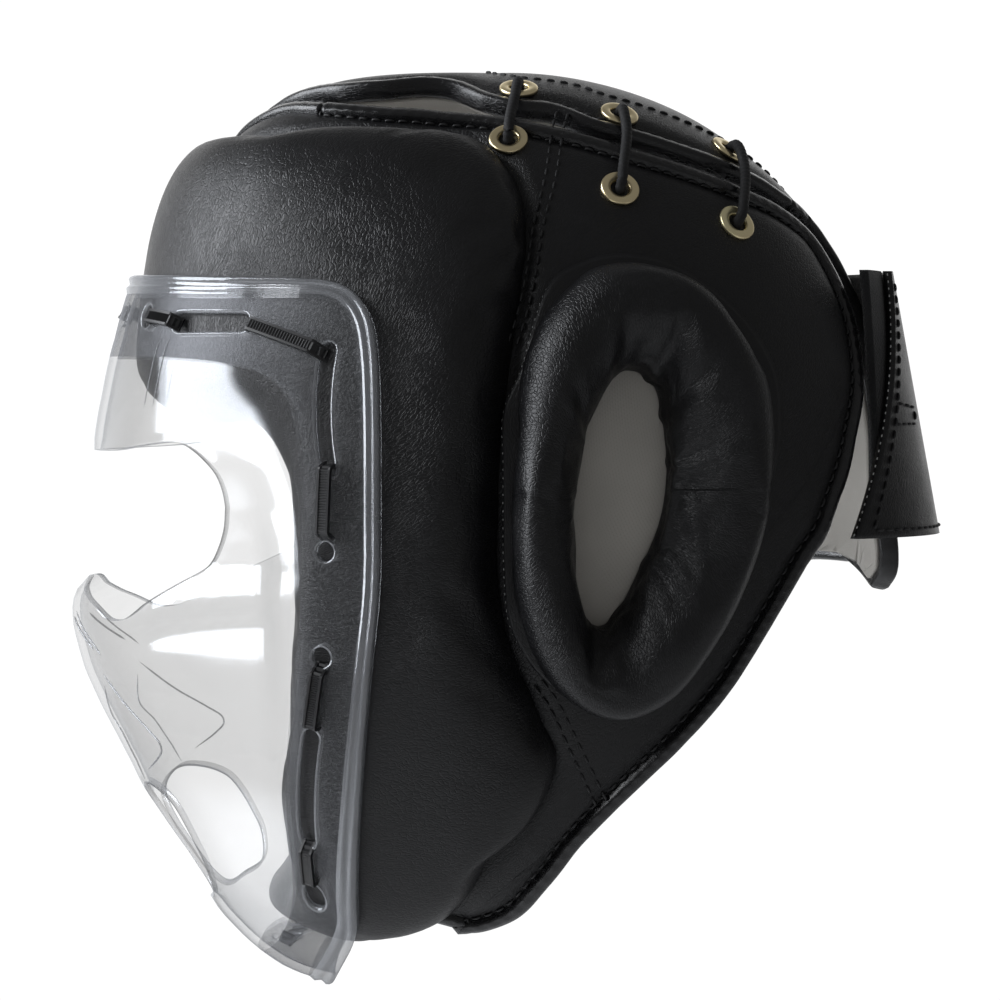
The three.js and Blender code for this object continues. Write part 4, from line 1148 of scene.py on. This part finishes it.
    def seams(self, side, word, seam, edge, row):
        """The twin seam behind the face frame, and the single one along the far crown edge."""
        lines = []
        for table, gaps in ((TWIN_SEAM_TOP, (0, 2.8)), (TWIN_SEAM_LOW, (0, -3.0))):
            line = unit(even_by_length(unit(curve_through(rays(table), 80)), 120))
            across = np.cross(unit(np.gradient(line, axis=0)), line)
            for gap in gaps:
                lines.append(unit(line - across * gap / SIDE_RADIUS) * FLIP[side])
        self.sew("twin_seam_" + word, lines, side, 0.3)
        if side == RIGHT:
            pick = (row > 6.5) & (row < 14.5)
            line = slerp(edge, seam, inset(edge, seam, 19.0)[:, None])[pick]
            self.sew("crown_seam_" + word, [even_by_length(line, 200)], side, 0.3)


class HEADGUARD_OT_ears(GuardOperator, bpy.types.Operator):
    """Build the padded ear rings and the thin flange behind each"""

    bl_idname = "head_guard.ears"
    bl_label = "Ear pads"

    def build(self):
        spokes = 200
        outer, turn = around_ear(EAR_RING, spokes)
        hole, turn = around_ear(EAR_HOLE, spokes)
        top = curve_through(
            [[0, -0.12], [0.0, 0.2], [0.06, 0.58], [0.23, 0.93], [0.42, 1.02], [0.62, 0.9], [0.8, 0.6],
             [0.93, 0.25], [1, -0.08], [1.0, -0.45], [0.99, -0.8]], 44)
        # Turn round the hole, width and depth of each pleat.
        pleats = [
            (1.58, 0.05, 2.4), (1.25, 0.045, 2.3), (1.0, 0.05, 1.9), (-1.55, 0.05, 2.2), (-1.78, 0.045, 1.7),
            (2.1, 0.06, 1.0), (0.5, 0.07, 0.8), (-1.2, 0.06, 0.9),
        ]
        dent = 0
        for a, wide, deep in pleats:
            gap = np.abs((turn - a + math.pi) % (2 * math.pi) - math.pi)
            beside = 0.35 * np.exp(-((gap - 2.2 * wide) / wide) ** 2)
            dent = dent + deep * (np.exp(-(gap / wide) ** 2) - beside)
        t = top[:, 0]
        near_hole = smooth((t - 0.42) / 0.35) * smooth((1.25 - t) / 0.3)
        # The ring leans in at the rear and at the top, where the flange shows.
        aside = 0.15 * np.clip(np.cos(turn), 0, 1) + 0.09 * np.clip(np.sin(turn), 0, 1)
        leant = t[None] + aside[:, None] * (np.clip(top[:, 1], 0, 1) * np.clip(1 - t, 0, 1))[None]
        d = slerp(outer[:, None], hole[:, None], leant[..., None])
        crest = mix(RING_START, EAR_CREST, np.clip(top[:, 1], 0, 2))
        rise = np.where(top[:, 1] > 0, crest, RING_START + top[:, 1] * 8.5)
        off = rise[None] - dent[:, None] * near_hole[None]
        off = off + 0.3 * ripple(d * 100, 4.5) * np.sin(np.pi * np.clip(t, 0, 1))[None]
        front = d * (head_radius(d) + off)[..., None]
        t2 = np.linspace(0.02, 0.97, len(t))
        d2 = slerp(outer[:, None], hole[:, None], t2[None, :, None])
        floor = np.where(t2 > 0.9, PANEL_START + 0.3, RING_START)
        back = d2 * (head_radius(d2) + floor[None])[..., None]
        verts, faces, uv = grid_shell(front, back, True)
        base_line, turn = around_ear(EAR_BASE, spokes)
        for side, word in SIDES:
            flip = FLIP[side]
            turned = faces if side == LEFT else [f[::-1] for f in faces]
            ring = new_mesh(
                "ear_ring_" + word, verts * flip, turned, material("leather"), ["ear_pad_" + word],
                uv[:, ::-1],
            )
            pins = np.zeros((2, spokes, len(t)))
            pins[1] = 1
            pins[0, :, :2] = 1
            pins[0, :, -3:] = 1
            puff(ring, pins.ravel(), 5.0, 0.02, sizes().pad_swell)
            soften(ring)
            inner = slerp(outer, hole, 0.5)
            s = np.linspace(0, 1, 14)[None, :, None]
            e = slerp(base_line[:, None], inner[:, None], s)
            thick = 1.5
            lift = BASE_START + 0.25 * ripple(e * 100, 3.0) * (1 - s[..., 0]) + thick
            up = e * (head_radius(e) + lift)[..., None] * flip
            down = e * (head_radius(e) + lift - thick)[..., None] * flip
            v2, f2, uv2 = grid_shell(up, down, True)
            f2 = f2 if side == LEFT else [f[::-1] for f in f2]
            new_mesh(
                "ear_flange_" + word, v2, f2, material("leather_smooth"), ["ear_base_" + word], uv2
            )
            rim = np.vstack([up[:, 0], up[:1, 0]]) * 0.5 + np.vstack([down[:, 0], down[:1, 0]]) * 0.5
            rims = [(rim, unit(rim))]
            stitches("ear_fibres_" + word, rims, material("fibre_and_glint"), 0.00014, 0.0006, 0.0023)


def eyelet_frame(d):
    """Foot of an eyelet on the head space, its axis and the two directions across it."""
    n = outward(d)
    return (d * head_radius(d), n, *axes_round(n))


class HEADGUARD_OT_lacing(GuardOperator, bpy.types.Operator):
    """Build the eyelets and the lace through them"""

    bl_idname = "head_guard.lacing"
    bl_label = "Eyelets and lace"

    def build(self):
        profile = self.eyelet_profile()
        turn = np.linspace(0, 2 * math.pi, 56, endpoint=False)
        for i, row in enumerate(EYELETS):
            for word, (a, b) in (("left", row[:2]), ("right", row[2:])):
                base, n, x, y = eyelet_frame(ray(a, b))
                spoke = np.cos(turn)[:, None] * x + np.sin(turn)[:, None] * y
                rings = base + profile[None, :, :1] * spoke[:, None] + profile[None, :, 1:] * n
                new_mesh(
                    "eyelet_ring_%s_%d" % (word, i + 1), rings.reshape(-1, 3), ring_faces(rings, True),
                    material("brass"), ["eyelet_%s_%d" % (word, i + 1)],
                )
            self.lace(i, ray(*row[:2]), ray(*row[2:]))

    def eyelet_profile(self):
        """Radius and height along an eyelet's section: a neck through the panel and a flat rolled rim on it."""
        top = PANEL_END + 0.2
        middle = 4.2
        roll = 1.45
        wall = 0.5
        profile = [[middle - roll, 1.0], [middle - roll, top - wall]]
        for k in range(13):
            w = math.radians(180 - 15 * k)
            across = math.copysign(abs(math.cos(w)) ** 0.8, math.cos(w))
            profile.append([middle + roll * across, top + abs(math.sin(w)) ** 0.7])
        profile.append([middle + roll - 0.1, top - wall])
        profile.append([middle - roll + wall, top - wall])
        profile.append([middle - roll + wall, 1.0])
        return np.array(profile)

    def lace(self, i, a, b):
        """One cord, up out of an eyelet, over the slit and down into the other."""
        frames = [eyelet_frame(a), eyelet_frame(b)]
        over = PANEL_END + 3.4

        def step(k, out, rise):
            base, n = frames[k][:2]
            way = frames[1 - k][0] - base
            way = unit(way - n * (way @ n))
            return base + way * out + n * rise

        mid = slerp(a[None], b[None], 0.5)[0]
        path = [
            step(0, -0.4, 1.4), step(0, -0.3, over - 3), step(0, 1.4, over - 0.4), step(0, 4.6, over + 0.3),
            mid * (head_radius(mid) + over + 0.6),
            step(1, 4.6, over + 0.3), step(1, 1.4, over - 0.4), step(1, -0.3, over - 3), step(1, -0.4, 1.4),
        ]
        count = 90
        line = even_by_length(curve_through(path, 200), count)
        radius = 1.5 + 0.08 * np.sin(np.arange(count) * 1.9)
        name = "lace_cord_%d" % (i + 1)
        tube_piece(name, line, radius, material("cord"), ["lace_%d" % (i + 1)], 16)


def flatten(d, axis=MASK_AXIS):
    """Directions to places on a flat sheet round an axis, in degrees."""
    centre = rays(axis)
    x, y = axes_round(centre)
    r = np.degrees(np.arccos(np.clip(d @ centre, -1, 1)))
    a = np.arctan2(d @ y, d @ x)
    return np.stack([r * np.cos(a), r * np.sin(a)], axis=-1)


def unflatten(q, axis=MASK_AXIS):
    """Places on a flat sheet back to directions."""
    centre = rays(axis)
    x, y = axes_round(centre)
    r = np.radians(np.hypot(q[..., 0], q[..., 1]))[..., None]
    a = np.arctan2(q[..., 1], q[..., 0])[..., None]
    return centre * np.cos(r) + (x * np.cos(a) + y * np.sin(a)) * np.sin(r)


def slot_outline(a, b, width, radius=115.0, segments=10):
    """Directions round a slot with round ends, or round a hole where both ends are the same."""
    half = width / 2 / radius
    along = b - a
    if np.linalg.norm(along) < 1e-6:
        along = np.array(UPWARD)
    along = unit(along - a * (along @ a))
    side = unit(np.cross(a, along))
    out = []
    for end, start in ((b, -90), (a, 90)):
        for i in range(segments + 1):
            w = math.radians(start + 180 * i / segments)
            out.append(unit(end + along * math.cos(w) * half + side * math.sin(w) * half))
    return np.array(out)


def inside(points, loop):
    """Whether flat points lie inside a closed line."""
    x, y = points[:, 0], points[:, 1]
    result = np.zeros(len(points), bool)
    x1, y1 = loop[:, 0], loop[:, 1]
    x2, y2 = np.roll(x1, -1), np.roll(y1, -1)
    for a, b, c, d in zip(x1, y1, x2, y2):
        cross = (b > y) != (d > y)
        result ^= cross & (x < (c - a) * (y - b) / ((d - b) or 1e-12) + a)
    return result


def onto_loop(points, loop):
    """Nearest places on a closed line, and the distance to them."""
    best = np.full(len(points), 1e9)
    place = points.copy()
    for a, b in zip(loop, np.roll(loop, -1, axis=0)):
        ab = b - a
        t = np.clip(((points - a) @ ab) / max(ab @ ab, 1e-12), 0, 1)
        foot = a + t[:, None] * ab
        gap = np.linalg.norm(points - foot, axis=1)
        near = gap < best
        best[near] = gap[near]
        place[near] = foot[near]
    return place, best


def to_loop(points, loop):
    """Least distance from points to a closed line."""
    return onto_loop(points, loop)[1]


def trimmed(d, loop, flip):
    """Moves directions outside a line onto it; returns them, their distance to it in mm and the cells left."""
    q = flatten((d * flip).reshape(-1, 3), EAR_CENTRE)
    place, gap = onto_loop(q, loop)
    out = ~inside(q, loop)
    q[out] = place[out]
    gap[out] = 0
    shape = d.shape[:2]
    out = out.reshape(shape)
    keep = ~(out[:-1, :-1] & out[1:, :-1] & out[:-1, 1:] & out[1:, 1:])
    gap = np.radians(gap).reshape(shape) * SIDE_RADIUS
    return unflatten(q, EAR_CENTRE).reshape(d.shape) * flip, gap, keep


def both_sides(half):
    """Directions of a closed line from its left half, which starts and ends on the middle line."""
    d = rays(half)
    return np.vstack([d, d[-2:0:-1] * MIRROR])


class HEADGUARD_OT_mask(GuardOperator, bpy.types.Operator):
    """Build the clear mask with its frosted flange, openings and rolled lip"""

    bl_idname = "head_guard.mask"
    bl_label = "Face mask"

    def build(self):
        outline = self.flat_loop(both_sides(MASK_OUTLINE), 600, 420)
        flange = self.flat_loop(both_sides(FLANGE_EDGE), 500, 300)
        holes = self.openings()
        flat, tris = self.sheet(outline, flange, holes)
        self.shell(flat, tris, outline, flange, holes)
        self.lines()

    def flat_loop(self, directions, fine, count):
        """A closed curve through directions, laid flat, with even steps."""
        return even_by_length(flatten(unit(curve_through(directions, fine, True))), count, True)

    def openings(self):
        """Flat loops of the eye opening, then on each side the vent, the slots and the holes."""
        holes = [self.flat_loop(both_sides(EYE_OPENING), 300, 220)]
        for flip in FLIP.values():
            holes.append(self.flat_loop(rays(VENT) * flip, 160, 90))
            for a, b, c, d in SLOTS:
                loop = slot_outline(ray(a, b) * flip, ray(c, d) * flip, SLOT_WIDTH)
                holes.append(even_by_length(flatten(loop), 60, True))
            for a, b in HOLES:
                p = ray(a, b) * flip
                holes.append(even_by_length(flatten(slot_outline(p, p, HOLE_WIDTH)), 28, True))
        return holes

    def grid(self, outline, flange, holes):
        """Staggered points inside the outline, clear of every line."""
        low = outline.min(axis=0)
        high = outline.max(axis=0)
        x, y = np.meshgrid(
            np.arange(low[0], high[0], MASK_STEP), np.arange(low[1], high[1], MASK_STEP * 0.87)
        )
        x = x + (np.arange(x.shape[0]) % 2)[:, None] * MASK_STEP / 2
        grid = np.stack([x.ravel(), y.ravel()], axis=-1)
        ok = inside(grid, outline) & (to_loop(grid, outline) > 3.0) & (to_loop(grid, flange) > MASK_STEP * 0.4)
        for hole in holes:
            ok &= ~inside(grid, hole) & (to_loop(grid, hole) > 0.9)
        return grid[ok]

    def edge_points(self, outline, flange, holes):
        """Rows of points along the lip and one round each opening, where the section curves most."""
        lips = np.vstack([self.beside(outline, step) for step in LIP_STEPS])
        rims = np.vstack([self.beside(hole, -0.3) for hole in holes])
        for hole in holes:
            lips = lips[~inside(lips, hole) & (to_loop(lips, hole) > 0.4)]
            rims = rims[~inside(rims, hole) & (to_loop(rims, hole) > 0.2)]
        clear = inside(lips, outline) & (to_loop(lips, outline) > 0.25) & (to_loop(lips, flange) > 0.3)
        lips = lips[clear]
        clear = inside(rims, outline) & (to_loop(rims, outline) > 2.6) & (to_loop(rims, flange) > 0.3)
        return lips, rims[clear]

    def sheet(self, outline, flange, holes):
        """Points and triangles of the mask laid flat, with the openings left out."""
        loops = [outline, flange, *holes]
        lips, rims = self.edge_points(outline, flange, holes)
        points = [Vector(p) for p in np.vstack([*loops, lips, rims, self.grid(outline, flange, holes)])]
        edges = []
        start = 0
        for loop in loops:
            n = len(loop)
            edges += [(start + i, start + (i + 1) % n) for i in range(n)]
            start += n
        flat, _, tris, _, _, _ = planar.delaunay_2d_cdt(points, edges, [], 0, 1e-6)
        flat = np.array([tuple(p) for p in flat])
        tris = np.array(tris)
        middles = flat[tris].mean(axis=1)
        ok = inside(middles, outline)
        for hole in holes:
            ok &= ~inside(middles, hole)
        tris = tris[ok]
        p = flat[tris]
        area = np.cross(p[:, 1] - p[:, 0], p[:, 2] - p[:, 0])
        return flat, np.where((area < 0)[:, None], tris[:, ::-1], tris)

    def shell(self, flat, tris, outline, flange, holes):
        """The wall over the sheet: a lip of two ridges, thinned edges at openings and three materials."""
        d = unflatten(flat)
        outer_r = mask_radius(d)
        gap = to_loop(flat, outline)
        lip = 1.3 * np.exp(-((gap - 0.5) / 0.5) ** 2) + 0.9 * np.exp(-((gap - 1.8) / 0.4) ** 2)
        hole_gap = np.min([to_loop(flat, hole) for hole in holes], axis=0)
        rim = 0.35 * (1 - smooth(hole_gap / 1.2))
        outer = d * (outer_r + lip - rim)[:, None]
        inner = d * (outer_r - MASK_WALL + rim)[:, None]
        n = len(flat)
        rows = tris.tolist()
        faces = [tuple(t) for t in rows] + [tuple(n + i for i in t[::-1]) for t in rows]
        seen = {}
        for a, b, c in rows:
            for edge in ((a, b), (b, c), (c, a)):
                seen[edge] = True
        walls = [(b, a, n + a, n + b) for a, b in seen if (b, a) not in seen]
        used = sorted({i for face in faces for i in face})
        place = {old: new for new, old in enumerate(used)}
        faces = [tuple(place[i] for i in face) for face in faces + walls]
        verts = np.vstack([outer, inner])[used]
        obj = new_mesh("mask_shell", verts, faces, material("clear_plastic"), ["face_mask"])
        obj.data.materials.append(material("frosted_plastic"))
        obj.data.materials.append(material("clear_rim"))
        middles = flat[tris].mean(axis=1)
        edge = to_loop(middles, outline) < LIP_ZONE
        for hole in holes[1:]:
            edge |= to_loop(middles, hole) < RIM_ZONE
        kind = np.where(edge, 2, np.where(inside(middles, flange), 0, 1))
        index = np.concatenate([kind, kind, np.full(len(walls), 2)])
        obj.data.polygons.foreach_set("material_index", index.astype(np.int32))
        obj.data.update()

    def beside(self, loop, step):
        """A closed line moved in by a step, or out by a negative one."""
        ahead = np.roll(loop, -1, axis=0) - np.roll(loop, 1, axis=0)
        ahead = ahead / np.maximum(np.linalg.norm(ahead, axis=1, keepdims=True), 1e-9)
        turned = np.stack([-ahead[:, 1], ahead[:, 0]], axis=-1)
        area = np.sum(loop[:, 0] * np.roll(loop[:, 1], -1) - loop[:, 1] * np.roll(loop[:, 0], -1))
        return loop + turned * step * np.sign(area)

    def lines(self):
        """Moulded lines of the mask: the visor, the nose slots and the recess at the lips."""
        count = 70
        for k, (radius, table) in enumerate(MASK_LINES):
            for side, word in SIDES:
                d = unit(even_by_length(unit(curve_through(rays(table), 60)), count))
                path = d * (mask_radius(d) + 0.12)[:, None] * FLIP[side]
                taper = radius * np.clip(np.sin(np.pi * np.linspace(0.03, 0.97, count)) * 2.5, 0.2, 1)
                name = "mask_line_%d_%s" % (k + 1, word)
                tube_piece(name, path, taper, material("clear_rim"), (), 8)


class HEADGUARD_OT_ties(GuardOperator, bpy.types.Operator):
    """Build the nylon ties that hold the mask to the pad"""

    bl_idname = "head_guard.ties"
    bl_label = "Mask ties"

    def build(self):
        for side, word in SIDES:
            for i, row in enumerate(TIES):
                self.tie("tie_%s_%d" % (word, i + 1), row, FLIP[side])
        self.tie("tie_forehead", MIDDLE_TIES[0], FLIP[LEFT])
        self.tie("tie_chin", MIDDLE_TIES[1], FLIP[LEFT])

    def tie(self, node, row, flip):
        """A toothed strap on the flange that dips into the mask's holes at both ends."""
        a, b, c, e = row
        count = 60
        t = np.linspace(-0.02, 1.02, count)
        start = np.broadcast_to(ray(a, b) * flip, (count, 3))
        end = np.broadcast_to(ray(c, e) * flip, (count, 3))
        d = slerp(start, end, t[:, None])
        dip = smooth((0.10 - t) / 0.12) + smooth((t - 0.90) / 0.12)
        path = d * (mask_radius(d) + 1.3 - 3.6 * dip)[:, None]
        tangent = unit(np.gradient(path, axis=0))
        out = unit(d - tangent * np.sum(d * tangent, axis=-1, keepdims=True))
        across = np.cross(tangent, out)
        section = np.array([
            [-2, -0.6], [-2, 0.6], [-1.3, 0.62], [-1.15, 0.2], [1.15, 0.2], [1.3, 0.62], [2, 0.6], [2, -0.6],
        ])
        rings = path[:, None] + section[None, :, :1] * across[:, None] + section[None, :, 1:] * out[:, None]
        teeth = 0.28 * (np.arange(count) % 2)
        for k in (3, 4):
            rings[:, k] += teeth[:, None] * out
        new_mesh(
            "nylon_" + node, rings.reshape(-1, 3), ring_faces(rings), material("nylon"), [node],
            smooth_faces=False,
        )


def strap_grid(ends, lift, nu, nv):
    """Outer and inner grid of points of a piece of the rear strap."""
    near_top, near_bottom, far_top, far_bottom = ends
    down = np.linspace(0, 1, nu)[:, None]
    z = mix(STRAP_TOP, STRAP_BOTTOM, down)
    rear = mix(REAR_TOP, REAR_BOTTOM, down) * REAR_REACH - lift
    centre = STRAP_CENTRE * REAR_REACH
    half = STRAP_PLAN * HALF_BREADTH - lift
    along = np.linspace(0, 1, nv)[None]
    a = np.radians(mix(mix(near_top, near_bottom, down), mix(far_top, far_bottom, down), along))
    layers = []
    for off in (0, STRAP_THICK):
        layers.append(np.stack([
            np.sin(a) * (half - off), centre + np.cos(a) * (rear - centre - off), z + 0 * a
        ], axis=-1))
    return layers


def on_grid(grid, u, v):
    """Points of a grid at shares of its height and length."""
    rows = u * (grid.shape[0] - 1)
    columns = v * (grid.shape[1] - 1)
    i = np.minimum(rows.astype(int), grid.shape[0] - 2)
    j = np.minimum(columns.astype(int), grid.shape[1] - 2)
    across = (columns - j)[:, None]
    upper = mix(grid[i, j], grid[i, j + 1], across)
    lower = mix(grid[i + 1, j], grid[i + 1, j + 1], across)
    return mix(upper, lower, (rows - i)[:, None])


class HEADGUARD_OT_strap(GuardOperator, bpy.types.Operator):
    """Build the rear flap and the loop strip under it"""

    bl_idname = "head_guard.strap"
    bl_label = "Rear strap"

    def build(self):
        outer, inner = strap_grid(FLAP, 0, 60, 90)
        verts, faces, uv = grid_shell(outer, inner)
        new_mesh("flap", verts, faces, material("leather"), ["rear_flap"], uv)
        # Runs of stitches on the flap, as shares of its height and length: two hems, then a box.
        hems = [
            [(0.04, 0.045), (0.97, 0.045)], [(0.97, 0.05), (0.97, 0.95)], [(0.5, 0.045), (0.52, 0.22)],
            [(0.52, 0.22), (0.58, 0.22)], [(0.58, 0.22), (0.58, 0.045)],
        ]
        lines = []
        for (u0, v0), (u1, v1) in hems:
            w = np.linspace(0, 1, 120)
            u = mix(u0, u1, w)
            v = mix(v0, v1, w)
            face = on_grid(outer, u, v)
            lines.append((face, unit(face - on_grid(inner, u, v))))
        stitches("flap_stitches", lines, material("thread"))
        # A row of small white tufts along the flap's near end: painted glints of the hooks at that edge.
        cut = (outer[:, 0] + inner[:, 0]) / 2
        hook_glint_rows = [(cut, unit(cut - outer[:, 8]))]
        stitches("flap_hook_glints", hook_glint_rows, material("fibre_and_glint"), 0.00018, 0.0007, 0.0024)
        outer, inner = strap_grid(LOOP_STRIP, STRAP_THICK + 2 * CLEARANCE, 40, 40)
        verts, faces, uv = grid_shell(outer, inner)
        new_mesh("loop_patch", verts, faces, material("loop"), ["rear_loop_strip"], uv)


def area_light(name, place, target, width, height, power, colour):
    """A soft light; lengths in m, power in W."""
    data = bpy.data.lights.new(name, "AREA")
    data.shape = "RECTANGLE"
    data.size = width
    data.size_y = height
    data.energy = power
    data.color = colour
    obj = bpy.data.objects.new(name, data)
    obj.location = place
    aim = Vector(target) - Vector(place)
    obj.rotation_euler = aim.to_track_quat("-Z", "Y").to_euler()
    bpy.context.scene.collection.objects.link(obj)


class HEADGUARD_OT_stage(GuardOperator, bpy.types.Operator):
    """Set up the pale floor, the soft lights and the camera"""

    bl_idname = "head_guard.stage"
    bl_label = "Stage"

    def build(self):
        back = Vector(ray(CAMERA_ROUND, CAMERA_UP).tolist())
        self.camera(back)
        self.floor()
        self.world(back)
        area_light("key", (0.2, -1.35, 0.42), (0, 0, 0.02), 0.8, 1.3, 29, (0.92, 0.95, 1.0))
        area_light("side", (0.95, -1.2, 0.8), (0, 0, 0), 0.4, 0.4, 5, (0.95, 0.97, 1.0))

    def camera(self, back):
        """The photograph's camera; back is the direction from the part to it."""
        data = bpy.data.cameras.new("camera")
        data.lens = CAMERA_LENS
        data.sensor_width = CAMERA_SENSOR
        data.clip_end = 60
        camera = bpy.data.objects.new("camera", data)
        camera.location = back * CAMERA_DISTANCE
        camera.rotation_euler = back.to_track_quat("Z", "Y").to_euler()
        bpy.context.scene.collection.objects.link(camera)
        bpy.context.scene.camera = camera

    def floor(self):
        """A round pale floor below the part."""
        drop = -sizes().floor_drop
        points = [(0.0, 0.0, drop)]
        for radius in FLOOR_RADII:
            for k in range(FLOOR_SPOKES):
                a = 2 * math.pi * k / FLOOR_SPOKES
                points.append((radius * math.cos(a), radius * math.sin(a), drop))
        faces = []
        for k in range(FLOOR_SPOKES):
            after = (k + 1) % FLOOR_SPOKES
            faces.append((0, 1 + k, 1 + after))
            for ring in range(len(FLOOR_RADII) - 1):
                near = 1 + ring * FLOOR_SPOKES
                far = near + FLOOR_SPOKES
                faces.append((near + k, far + k, far + after, near + after))
        mesh = bpy.data.meshes.new("floor")
        mesh.from_pydata(points, [], faces)
        ground = bpy.data.objects.new("floor", mesh)
        ground.data.materials.append(plain_material("floor", colours().floor, 0.8, 40.0, 0.0))
        bpy.context.scene.collection.objects.link(ground)

    def world(self, back):
        """Soft white light that is strong behind the part and dim elsewhere."""
        scene = bpy.context.scene
        world = bpy.data.worlds.new("studio")
        scene.world = world
        world.use_nodes = True
        tree = world.node_tree
        sky = tree.nodes["Background"]
        place = tree.nodes.new("ShaderNodeTexCoord")
        side = tree.nodes.new("ShaderNodeVectorMath")
        side.operation = "DOT_PRODUCT"
        side.inputs[1].default_value = -back
        tree.links.new(place.outputs["Generated"], side.inputs[0])
        fade = tree.nodes.new("ShaderNodeMapRange")
        fade.interpolation_type = "SMOOTHSTEP"
        for socket, value in ((1, WORLD_FROM), (2, WORLD_TO), (3, WORLD_DIM), (4, WORLD_BRIGHT)):
            fade.inputs[socket].default_value = value
        tree.links.new(side.outputs["Value"], fade.inputs[0])
        tree.links.new(fade.outputs[0], sky.inputs["Strength"])
        sky.inputs["Color"].default_value = (1, 1, 1, 1)
        scene.view_settings.view_transform = "Standard"


ORDER = (
    HEADGUARD_OT_stage, HEADGUARD_OT_materials, HEADGUARD_OT_face_pad, HEADGUARD_OT_panels, HEADGUARD_OT_ears,
    HEADGUARD_OT_lacing, HEADGUARD_OT_mask, HEADGUARD_OT_ties, HEADGUARD_OT_strap,
)


class HEADGUARD_PT_panel(bpy.types.Panel):
    """Lists the build steps, the sizes and the colours"""

    bl_idname = "HEADGUARD_PT_panel"
    bl_label = "Head guard"
    bl_space_type = "VIEW_3D"
    bl_region_type = "UI"
    bl_category = "Head guard"

    def draw(self, context):
        for cls in ORDER:
            self.layout.operator(cls.bl_idname)
        for group in (context.scene.head_guard_sizes, context.scene.head_guard_colours):
            box = self.layout.box()
            for name in group.__annotations__:
                box.prop(group, name)


CLASSES = (HeadGuardSizes, HeadGuardColours, *ORDER, HEADGUARD_PT_panel)


def register():
    for cls in CLASSES:
        bpy.utils.register_class(cls)
    bpy.types.Scene.head_guard_sizes = bpy.props.PointerProperty(type=HeadGuardSizes)
    bpy.types.Scene.head_guard_colours = bpy.props.PointerProperty(type=HeadGuardColours)


def unregister():
    del bpy.types.Scene.head_guard_sizes
    del bpy.types.Scene.head_guard_colours
    for cls in reversed(CLASSES):
        bpy.utils.unregister_class(cls)


def main():
    """Registers the add-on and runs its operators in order."""
    register()
    for cls in ORDER:
        group, name = cls.bl_idname.split(".")
        getattr(getattr(bpy.ops, group), name)()


if __name__ == "__main__":
    main()
